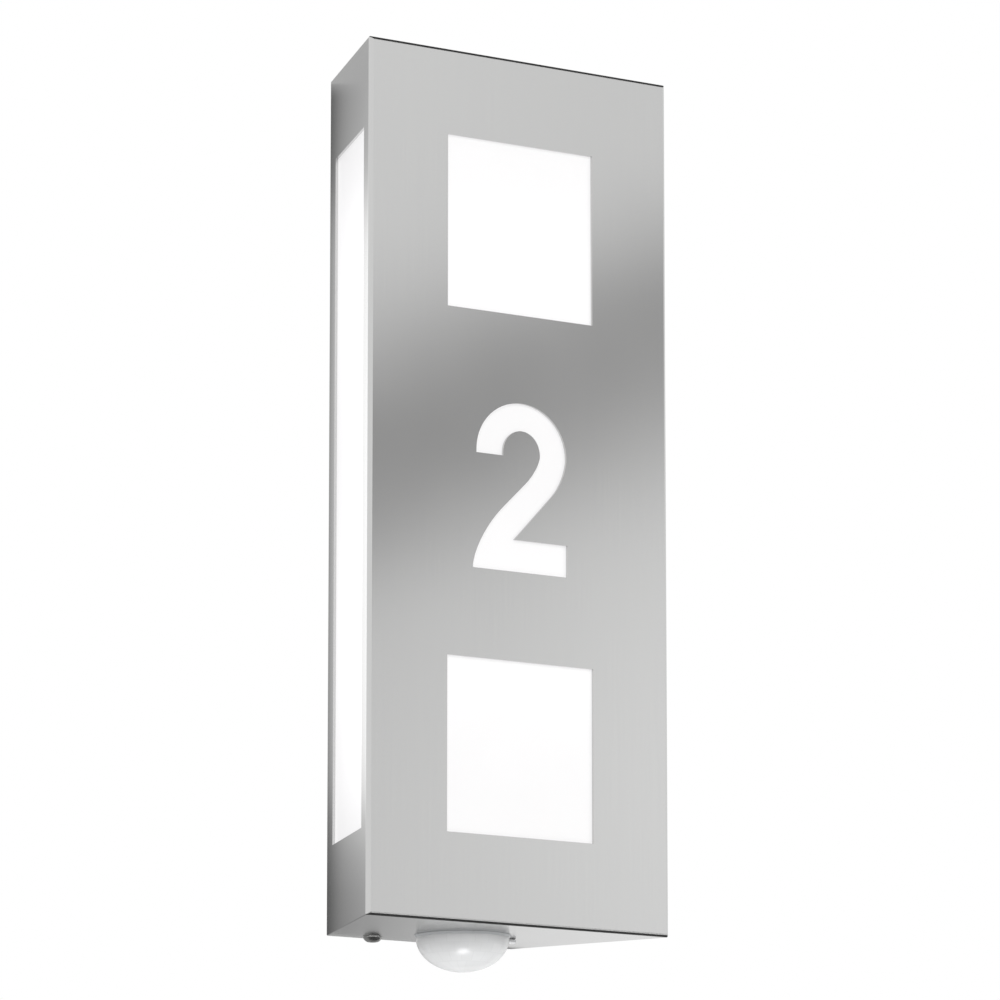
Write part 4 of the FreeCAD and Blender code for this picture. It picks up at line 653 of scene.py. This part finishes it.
SIDE_TURN = radians(111.166)
ALONG_SIDE = np.array([cos(SIDE_TURN), sin(SIDE_TURN), 0])
INTO_SIDE = np.array([-sin(SIDE_TURN), cos(SIDE_TURN), 0])
SIDE_CORNER = np.array([82.75, FRONT_Y, 0])
SIDE_STUD_WAY = 44         # from the front corner, along the side wall
STUD_MARGIN = 10.0
PANE = 3.0
MIRRORED = np.array([-1, 1, 1])


def stud_places():
    """Base and direction of each stud: six on the front sheet, two on each side wall."""
    across, _, rise = box_mm("front_diffuser")[1] - STUD_MARGIN
    places = [(np.array([x, FRONT_Y + SHEET, z]), Y_AXIS)
              for x in (-across, across) for z in (-rise, 0, rise)]
    side_rise = box_mm("left_diffuser")[1][2] - STUD_MARGIN
    for z in (-side_rise, side_rise):
        base = SIDE_CORNER + ALONG_SIDE * SIDE_STUD_WAY + INTO_SIDE * SHEET + Z_AXIS * z
        places += [(base, INTO_SIDE), (base * MIRRORED, INTO_SIDE * MIRRORED)]
    return places


def stud(radius, length, pitch, tip=0.3):
    """Threaded stud from zero up, its end eased."""
    rows, depth = shank(radius, length - tip, pitch)
    outline = np.concatenate([[[0, 0]], rows * [1, -1], [[radius - tip, length], [0, length]]])
    return turned(outline, 24, cut=np.concatenate([[0], depth, [0, 0]]), pitch=pitch)


dress("diffuser_studs", [aimed(stud(radius=1.5, length=8.0, pitch=0.5), base, way)
                         for base, way in stud_places()])
dress("diffuser_nuts", [aimed(nut(flats=5.5, bore=1.55, height=2.4), base + way * PANE, way)
                        for base, way in stud_places()])

# ---- lamps and lampholders, made upright with their back at zero ------------------------------
HOLDER_RADIUS, HOLDER_NECK_RADIUS, HOLDER_BORE = 20, 17, 14.33
HOLDER_NECK, HOLDER_FLOOR, HOLDER_SHOULDER, HOLDER_MOUTH = 12.0, 14.0, 16, 42      # heights
CAP_START = 17.3
CAP_BODY = 22.0
CAP_END = 43.0
CAP_RADIUS, CAP_THREAD = 13.0, 0.95
COLLAR_END = 80.0
BULB_RADIUS, BULB_CENTRE = 30.0, 95.0
SLEEVE_OUTSIDE, SLEEVE_INSIDE, SLEEVE_END, SLEEVE_THREAD = 13.98, 13.78, 38, 0.22
THREAD_PITCH = 3.62
THREAD_ROWS = 90


def thread_swell(levels, first, last):
    """A rolled thread's depth, 0 to 1: it fades in over 2 mm from `first`, and out before `last`."""
    return np.clip(np.minimum(levels - first, last - levels) / 2, 0, 1)


def bulb():
    """Opal ball cut off where it meets the collar: (R cos b, C + R sin b)."""
    first = np.arcsin((COLLAR_END - BULB_CENTRE) / BULB_RADIUS)
    turn = np.linspace(first, pi / 2, 48)
    ball = np.stack([BULB_RADIUS * np.cos(turn), BULB_CENTRE + BULB_RADIUS * np.sin(turn)], 1)
    ball[-1, 0] = 0
    return turned(np.concatenate([[[0, COLLAR_END]], ball]), 96)


def lamp_collar():
    """Flared body: r = 14 + 11.9 s^1.5, s from 0 at the cap to 1 at the bulb."""
    s = np.linspace(0, 1, 24)
    flank = np.stack([14.0 + 11.9 * s ** 1.5, CAP_END + (COLLAR_END - CAP_END) * s], 1)
    return turned(np.concatenate([[[0, CAP_END]], flank, [[0, COLLAR_END]]]), 96)


def lamp_cap():
    """Screw cap: rolled thread between a rounded end and a plain rim."""
    levels = np.linspace(CAP_BODY, CAP_END, THREAD_ROWS)
    flank = np.stack([np.full(THREAD_ROWS, CAP_RADIUS), levels], 1)
    flank[:3, 0] -= [1.2, 0.7, 0.3]
    swell = thread_swell(levels, CAP_BODY + 1, CAP_END - 4)
    return turned(np.concatenate([[[0, CAP_BODY]], flank, [[0, CAP_END]]]), 72,
                  cut=np.concatenate([[0], CAP_THREAD * swell, [0]]), pitch=THREAD_PITCH)


def lamp_tip():
    """Black glass cone that narrows to the lamp's end."""
    return turned(eased([(0, CAP_START), (4.5, CAP_START), (5.0, CAP_START + 1.2),
                         (9.0, CAP_BODY), (0, CAP_BODY)], 0.5), 64)


def lampholder():
    """Insulating body: neck, shoulder, skirt with an eased mouth, and the deep round socket."""
    return turned(eased([(0, 0), (HOLDER_NECK_RADIUS, 0), (HOLDER_NECK_RADIUS, HOLDER_NECK),
                         (HOLDER_RADIUS, HOLDER_SHOULDER), (HOLDER_RADIUS, HOLDER_MOUTH),
                         (HOLDER_BORE, HOLDER_MOUTH), (HOLDER_BORE, HOLDER_FLOOR),
                         (0, HOLDER_FLOOR)], 0.8), 96)


def sleeve():
    """Thin sleeve with a rolled thread: both faces swing together by 0.22 mm."""
    levels = np.linspace(HOLDER_FLOOR, SLEEVE_END, THREAD_ROWS)
    swell = SLEEVE_THREAD * thread_swell(levels, HOLDER_FLOOR + 2, SLEEVE_END - 2)
    outline = np.concatenate([np.stack([np.full(THREAD_ROWS, SLEEVE_OUTSIDE), levels], 1),
                              np.stack([np.full(THREAD_ROWS, SLEEVE_INSIDE), levels[::-1]], 1)])
    return turned(outline, 72, ring=True, cut=np.concatenate([swell, swell[::-1]]),
                  pitch=THREAD_PITCH)


for place, (base, way) in LAMPS.items():
    for part, make in (("_lamp_bulb", bulb), ("_lamp_collar", lamp_collar), ("_lamp_cap", lamp_cap),
                       ("_lamp_tip", lamp_tip), ("_lampholder", lampholder),
                       ("_screw_sleeve", sleeve)):
        dress(place + part, [aimed(make(), base, way)])

# ---- screws inside ----------------------------------------------------------------------------
PLATE_FRONT_Y = -3.5
BRACKET = 1.5
BRACKET_SCREW_X, BRACKET_SCREW_RISE = 13.5, 14.0
HOLDER_SCREW_X = 9.0

bracket_screw = pan_screw(radius=1.9, length=3.7, head_radius=3.2, head=2.2)
dress("bracket_screws", [
    aimed(bracket_screw, (x, PLATE_FRONT_Y - BRACKET, z), TO_STREET)
    for x in (-BRACKET_SCREW_X, BRACKET_SCREW_X)
    for z in (UPPER_BASE[2] - BRACKET_SCREW_RISE, LOWER_BASE[2] + BRACKET_SCREW_RISE)])
holder_screw = pan_screw(radius=1.5, length=8.0, head_radius=2.75, head=1.8)
dress("holder_screws", [
    aimed(holder_screw, base + [x, 0, -way[2] * BRACKET], -way)
    for x in (-HOLDER_SCREW_X, HOLDER_SCREW_X) for base, way in LAMPS.values()])

BLOCK_Z = middle_mm("terminal_block")[2]
POLES = box_mm("terminal_block")[0][0] + 5.0 + 8.0 * np.arange(4)
BLOCK_SCREW_HEAD = 2.2
CLAMP_RADIUS, CLAMP_LENGTH, CLAMP_RISE = 1.8, 5.0, 4.5

fix_low, fix_high = box_mm("block_screw")
fix_seat = fix_low[1] + BLOCK_SCREW_HEAD
block_screw = pan_screw(radius=1.45, length=fix_high[1] - fix_seat, head_radius=2.8,
                        head=BLOCK_SCREW_HEAD)
dress("block_screw", [aimed(block_screw, (middle_mm("block_screw")[0], fix_seat, BLOCK_Z),
                            TO_STREET)])
clamp_y = box_mm("terminal_screws")[0][1]
clamp_face = np.stack([np.linspace(0, CLAMP_RADIUS - 0.15, 14), np.zeros(14)], 1)
clamp = turned(np.concatenate([clamp_face, [[CLAMP_RADIUS, -0.15], [CLAMP_RADIUS, -CLAMP_LENGTH],
                                            [0, -CLAMP_LENGTH]]]), 48)
dress("terminal_screws", [
    aimed(slotted(clamp, width=0.6, depth=0.7, reach=2.0, floor=-0.1),
          (x, clamp_y, BLOCK_Z + rise), TO_STREET)
    for x in POLES for rise in (-CLAMP_RISE, CLAMP_RISE)])

# ---- earth stud, washer and nut ---------------------------------------------------------------
LUG, WASHER = 1.0, 0.8     # thickness of what lies under the nut
EARTH = middle_mm("earth_stud")
EARTH[1] = PLATE_FRONT_Y
dress("earth_stud", [aimed(stud(radius=2.0, length=10.0, pitch=0.7), EARTH, TO_STREET)])
washer = eased([(2.05, 0), (4.5, 0), (4.5, WASHER), (2.05, WASHER)], 0.12, ring=True)
dress("earth_washer", [aimed(turned(washer, ring=True), EARTH + TO_STREET * LUG, TO_STREET)])
dress("earth_nut", [aimed(nut(flats=7.0, bore=2.05, height=3.2),
                          EARTH + TO_STREET * (LUG + WASHER), TO_STREET)])

# ---- leads; each route is the CAD's -----------------------------------------------------------
WIRE_Y = PLATE_FRONT_Y - 4.5
WIRE_RADIUS = 1.1
WIRE_HOLE_X = 8.0
NECK_Y = UPPER_BASE[1] + (HOLDER_NECK_RADIUS ** 2 - WIRE_HOLE_X ** 2) ** 0.5 - 3.0


def lamp_leads(pole, side):
    """Both leads of one pole, up to the upper lampholder and down to the lower one."""
    leads = []
    for first_z, bow, last_z in (
            (BLOCK_Z + 6, ((0.5, 0, 45), (-2.5, 0, 95)), UPPER_BASE[2] - HOLDER_NECK),
            (BLOCK_Z - 6, ((0.5, 0, -50), (-2.5, 0, -105)), LOWER_BASE[2] + HOLDER_NECK)):
        first = np.array([POLES[pole], WIRE_Y, first_z])
        route = [first] + [first + step for step in bow]
        route += [(side * WIRE_HOLE_X, WIRE_Y, last_z), (side * WIRE_HOLE_X, NECK_Y, last_z)]
        leads.append(swept(route, WIRE_RADIUS))
    return leads


dress("live_leads", lamp_leads(0, -1))
dress("neutral_leads", lamp_leads(2, 1))

LUG_BARREL = 7.0
lug_foot = EARTH + [0, -1.7, 5.0]
lug_head = lug_foot + [0, 0, LUG_BARREL]
lead_start = np.array([EARTH[0], WIRE_Y, BLOCK_Z - 6])
run = Z_AXIS * (lead_start[2] - lug_head[2]) / 3
earth_wire = swept([lead_start, lead_start - run, lug_head + run,
                    lug_head - Z_AXIS * LUG_BARREL / 2], WIRE_RADIUS)
lug_barrel = eased([(0, 0), (1.7, 0), (1.7, LUG_BARREL), (0, LUG_BARREL)], 0.3)
lug_ring = eased([(2.05, 0), (4.2, 0), (4.2, LUG), (2.05, LUG)], 0.15, ring=True)
dress("earth_lead", [earth_wire, aimed(turned(lug_barrel, 32), lug_foot),
                     aimed(turned(lug_ring, 48, ring=True), EARTH, TO_STREET)])

plug_low, plug_high = box_mm("sensor_plug")
lead_top = np.array([middle_mm("sensor_plug")[0], plug_high[1] - 10.5, plug_low[2] + 2.0])
lead_foot = np.array([27.0, LENS[1] + 6.0, box_mm("sensor_lid")[1][2] - 3.5])
sensor_route = [lead_top, lead_top - Z_AXIS * 22]
sensor_route += [lead_top + step for step in ((9.5, 1.5, -54), (10.5, 2, -98), (8, -2, -134))]
sensor_route += [lead_foot + Z_AXIS * 23, lead_foot]
dress("sensor_lead", [swept(sensor_route, radius=2.0, around=28)])

# ---- cable grommet ----------------------------------------------------------------------------
# Back flange, neck in the plate, front flange, and the cone that hugs the cable.
grommet = eased([(4.0, 0), (10, 0), (10, 1.5), (7.0, 1.5), (7.0, 3.0), (10, 3.0), (10, 5.0),
                 (5.4, 11.0), (4.0, 11.0)], 0.35, ring=True)
grommet_back = (middle_mm("cable_grommet")[0], box_mm("cable_grommet")[1][1], BLOCK_Z)
dress("cable_grommet", [aimed(turned(grommet, ring=True), grommet_back, TO_STREET)])

# ---- finishes of the CAD nodes that stay ------------------------------------------------------
for name, piece in CAD.items():
    if SLOT_OF.get(name):
        piece.data.materials.clear()
        piece.data.materials.append(FINISH[SLOT_OF[name]])


# ---- stage ------------------------------------------------------------------------------------
def glowing(name, strength):
    """Plain light of one strength, or of a strength worked out by nodes from the piece's UV."""
    material = bpy.data.materials.new(name)
    material.use_nodes = True
    tree = material.node_tree
    tree.nodes.clear()
    if callable(strength):
        strength = strength(tree)
    light = node(tree, "Emission", {"Strength": strength})
    node(tree, "OutputMaterial", {"Surface": light.outputs[0]})
    return material


def rectangle(left, right, low, high):
    """The four corners, in turn."""
    return [(left, low), (right, low), (right, high), (left, high)]


def card(name, corners, material, uv=tuple(rectangle(0, 1, 0, 1))):
    """A flat card that only the steel's reflections see."""
    mesh = bpy.data.meshes.new(name)
    mesh.from_pydata([tuple(c) for c in corners], [], [tuple(range(len(corners)))])
    if uv is not None:
        mesh.uv_layers.new(name="card").data.foreach_set("uv", np.asarray(uv, float).ravel())
    mesh.materials.append(material)
    made = bpy.data.objects.new(name, mesh)
    bpy.context.scene.collection.objects.link(made)
    made.visible_camera = made.visible_diffuse = made.visible_shadow = False
    made.visible_transmission = made.visible_volume_scatter = False
    return made


def stops(tree, source, *pairs):
    """A smooth run of strengths over a 0 to 1 source, from (place, strength) pairs.

    The curve is drawn at half height and doubled after, because its window ends at 1."""
    curve = node(tree, "FloatCurve", {"Value": source})
    points = curve.mapping.curves[0].points
    for k, (place, strength) in enumerate(pairs):
        if k < 2:
            points[k].location = (place, strength / 2)
        else:
            points.new(place, strength / 2)
    curve.mapping.update()
    return node(tree, "Math", {0: curve.outputs["Value"], 1: 2.0}, operation="MULTIPLY").outputs[0]


def card_place(tree):
    """Across and up, each 0 to 1, over a card."""
    return node(tree, "SeparateXYZ", {"Vector": node(tree, "TexCoord").outputs["UV"]}).outputs


# The card in front of the sign, for the slanting grey band on its face. It stands where the face
# mirrors it, and its UV is laid out in the photograph's pixels.
FACE_Y = FRONT_Y * MM
CARD_BEYOND = 0.6
BAND_LEFT, BAND_RIGHT = 380, 655       # the pixels where its two profiles were matched
BAND_SLOPE = 0.4
camera_right = CAMERA_WAY.cross(Vector((0, 0, 1))).normalized()
camera_up = camera_right.cross(CAMERA_WAY)
card_far = (Vector((0, FACE_Y, 0)) - CAMERA_PLACE).length + CARD_BEYOND


def seen_in_front(px, py):
    """The place whose reflection in the front sheet shows at a pixel of the photograph."""
    across, down = px - PHOTO_SIZE / 2, py - PHOTO_SIZE / 2
    ray = CAMERA_WAY + camera_right * across / FOCUS_PIXELS - camera_up * down / FOCUS_PIXELS
    behind = CAMERA_PLACE + ray * card_far
    behind.y = 2 * FACE_Y - behind.y
    return behind


def band(tree):
    """The soft grey band that slants up to the right across the front, darker at its left."""
    across, down, _ = card_place(tree)
    left = stops(tree, down, (0.0, 0.98), (1.0, 0.9), (0.2, 0.95), (0.27, 0.92), (0.33, 0.73),
                 (0.40, 0.45), (0.47, 0.4), (0.53, 0.55), (0.62, 0.86), (0.68, 0.88))
    right = stops(tree, down, (0.0, 0.93), (1.0, 1.05), (0.2, 0.93), (0.27, 0.93), (0.33, 0.8),
                  (0.415, 0.48), (0.47, 0.475), (0.53, 0.6), (0.62, 0.9), (0.68, 0.98))
    return node(tree, "Mix", {"Factor": across, "A": left, "B": right}).outputs["Result"]


card_pixels = rectangle(150, 880, -200, 1200)
card_uv = [((px - BAND_LEFT) / (BAND_RIGHT - BAND_LEFT),
            (py + BAND_SLOPE * (px - BAND_LEFT)) / PHOTO_SIZE) for px, py in card_pixels]
card("front_band_card", [seen_in_front(*p) for p in card_pixels], glowing("card_band", band), card_uv)

# The cards beside and under the sign, just behind the wall's face.
CARD_Y = 0.004
SIDE_INNER, SIDE_OUTER = 0.0495, 0.0895         # the side card's x
SIDE_LOW, SIDE_HIGH = -0.2015, 0.2              # its z; the card under the sign ends at the first
SIDE_RUN_LOW, SIDE_RUN_HIGH = 0.099, 0.918      # the same two heights on the side glow's 0 to 1
SIDE_TOP = 0.5                                  # the glow's strength past 0.93
UNDER_LEFT, UNDER_RIGHT, UNDER_LOW = -0.2, 0.25, -0.26


def side_glow(tree):
    """Dark by the sign's back edge, paler outwards, and bright where the slot's light falls."""
    outwards, up, _ = card_place(tree)
    shade = stops(tree, outwards, (0.0, 0.14), (1.0, 1.0), (0.04, 0.2), (0.2, 0.42), (0.4, 0.54),
                  (0.55, 0.62), (0.8, 0.85))
    light = stops(tree, up, (0.0, 0.7), (1.0, 0.95), (0.12, 0.74), (0.16, 0.88), (0.2, 1.2),
                  (0.32, 2.2), (0.72, 2.2), (0.88, 0.97))
    top = stops(tree, up, (0.0, 0.0), (1.0, 1.0), (0.9, 0.0), (0.93, 1.0))
    lit = node(tree, "Math", {0: shade, 1: light}, operation="MULTIPLY").outputs[0]
    return node(tree, "Mix", {"Factor": top, "A": lit, "B": SIDE_TOP}).outputs["Result"]


def under_glow(tree):
    """Grey at the left, white at the right, as the underside of the sign shows it."""
    across, _, _ = card_place(tree)
    return stops(tree, across, (0.0, 0.3), (1.0, 0.9), (0.34, 0.32), (0.4, 0.42), (0.46, 0.53),
                 (0.55, 0.8), (0.64, 0.86))


side_paper = glowing("card_side", side_glow)
side_uv = rectangle(0, 1, SIDE_RUN_LOW, SIDE_RUN_HIGH)
for side in (-1, 1):
    card("side_card", [(side * x, CARD_Y, z)
                       for x, z in rectangle(SIDE_INNER, SIDE_OUTER, SIDE_LOW, SIDE_HIGH)],
         side_paper, side_uv)
card("under_card", [(x, CARD_Y, z)
                    for x, z in rectangle(UNDER_LEFT, UNDER_RIGHT, UNDER_LOW, SIDE_LOW)],
     glowing("card_under", under_glow))

# One card far behind, where the top of the side wall is reflected, and a dark disc above and below.
TOP_CARD, TOP_HALF_WIDTH, TOP_HALF_HEIGHT = (0.17, 1.42, 0.466), 0.2, 0.16
TOP_GLOW, DARK_GLOW = 0.5, 0.06
OVERHEAD_RADIUS, OVERHEAD_Z = 1.35, 0.95
UNDER_RADIUS, UNDER_Z = 0.8, -0.66


def disc_corners(radius, height, count=48):
    """Corners of a level disc round the Z axis."""
    turn = angles(count)[:, 0]
    return np.stack([radius * np.cos(turn), radius * np.sin(turn), np.full(count, height)], 1)


card("top_card", [(TOP_CARD[0] + x, TOP_CARD[1], TOP_CARD[2] + z) for x, z in rectangle(
    -TOP_HALF_WIDTH, TOP_HALF_WIDTH, -TOP_HALF_HEIGHT, TOP_HALF_HEIGHT)], glowing("card_top", TOP_GLOW))
dark_paper = glowing("card_dark", DARK_GLOW)
card("overhead_flag", disc_corners(OVERHEAD_RADIUS, OVERHEAD_Z), dark_paper, None)
card("under_flag", disc_corners(UNDER_RADIUS, UNDER_Z), dark_paper, None)

FLOOR_REACH, FLOOR_LEVEL = 20.0, -0.75
RING_OUT = 6.0                         # metres where the ring's curve ends
GLOW_START, GLOW_FULL = 1.0, 3.0       # metres out
NEAR_GLOW, FAR_GLOW = 0.25, 1.0


def floor_paper():
    """Matt white paper.

    The steel mirrors its greyer ring, full 3 m out; to the camera a glow, which grows from 1 to
    3 m out, keeps it white."""
    material, tree, shader = finish("floor_paper", Roughness=0.9, Emission_Color=(1, 1, 1, 1))
    out = node(tree, "VectorMath", {0: node(tree, "TexCoord").outputs["Object"]},
               operation="LENGTH").outputs["Value"]
    share = node(tree, "Math", {0: out, 1: 1 / RING_OUT}, operation="MULTIPLY").outputs[0]
    ring = stops(tree, share, (0.0, 0.0), (1.0, 0.0), (0.14, 0.0), (0.5, 1.0))
    glow = node(tree, "MapRange", {"Value": out, "From Min": GLOW_START, "From Max": GLOW_FULL,
                                   "To Min": NEAR_GLOW, "To Max": FAR_GLOW}).outputs["Result"]
    seen = node(tree, "LightPath").outputs["Is Camera Ray"]
    lift = node(tree, "Math", {0: seen, 1: glow}, operation="MULTIPLY").outputs[0]
    lay(tree, shader, tone=(ring, "#F4F4F4", "#CFCFCF"), Emission_Strength=lift)
    return material


floor_mesh = bpy.data.meshes.new("floor")
floor_mesh.from_pydata([(x, y, FLOOR_LEVEL) for x, y in rectangle(
    -FLOOR_REACH, FLOOR_REACH, -FLOOR_REACH, FLOOR_REACH)], [], [(0, 1, 2, 3)])
floor_mesh.materials.append(floor_paper())
floor = bpy.data.objects.new("floor", floor_mesh)
bpy.context.scene.collection.objects.link(floor)


# ---- lamps and world --------------------------------------------------------------------------
def lamp(name, place, target, size, watts, glossy=False):
    """A square soft lamp; most are kept out of the steel's reflections."""
    data = bpy.data.lights.new(name, "AREA")
    data.size = size
    data.energy = watts
    made = bpy.data.objects.new(name, data)
    made.location = place
    made.rotation_euler = (Vector(target) - Vector(place)).to_track_quat("-Z", "Y").to_euler()
    made.visible_camera = False
    made.visible_glossy = glossy
    bpy.context.scene.collection.objects.link(made)
    return made


STUDIO_LAMP = 1.2          # metres square
for name, place, watts in (("key_lamp", (-1.4, -2.2, 1.6), 36), ("fill_lamp", (1.8, -1.8, 0.4), 16),
                           ("back_lamp", (0.6, 2.4, 1.2), 22)):
    lamp(name, place, (0, 0, 0), STUDIO_LAMP, watts)

# The low lamp makes the highlight on the sensor's lens, lifts the two knobs, and lights nothing else.
low_lamp = lamp("low_lamp", (-0.08, -0.17, -0.64), (0, -0.036, -0.21), size=0.16, watts=0.75,
                glossy=True)
low_plastics = bpy.data.collections.new("low_plastics")
for part in ("sensor_lens", "time_trimmer", "lux_trimmer"):
    low_plastics.objects.link(bpy.data.objects[part + "_fine"])
low_lamp.light_linking.receiver_collection = low_plastics

# White world: full to the camera, to reflections and through clear parts, weaker as light.
WORLD_LIGHT, WORLD_SEEN = 0.55, 1.0
world = bpy.data.worlds.new("studio")
world.use_nodes = True
bpy.context.scene.world = world
sky = world.node_tree
rays = node(sky, "LightPath").outputs
seen = node(sky, "Math", {0: rays["Is Camera Ray"], 1: rays["Is Glossy Ray"]}, operation="MAXIMUM")
seen = node(sky, "Math", {0: seen.outputs[0], 1: rays["Is Transmission Ray"]}, operation="MAXIMUM")
level = node(sky, "MapRange", {"Value": seen.outputs[0], "To Min": WORLD_LIGHT, "To Max": WORLD_SEEN})
sky.links.new(level.outputs["Result"], sky.nodes["Background"].inputs["Strength"])
sky.nodes["Background"].inputs["Color"].default_value = (1, 1, 1, 1)
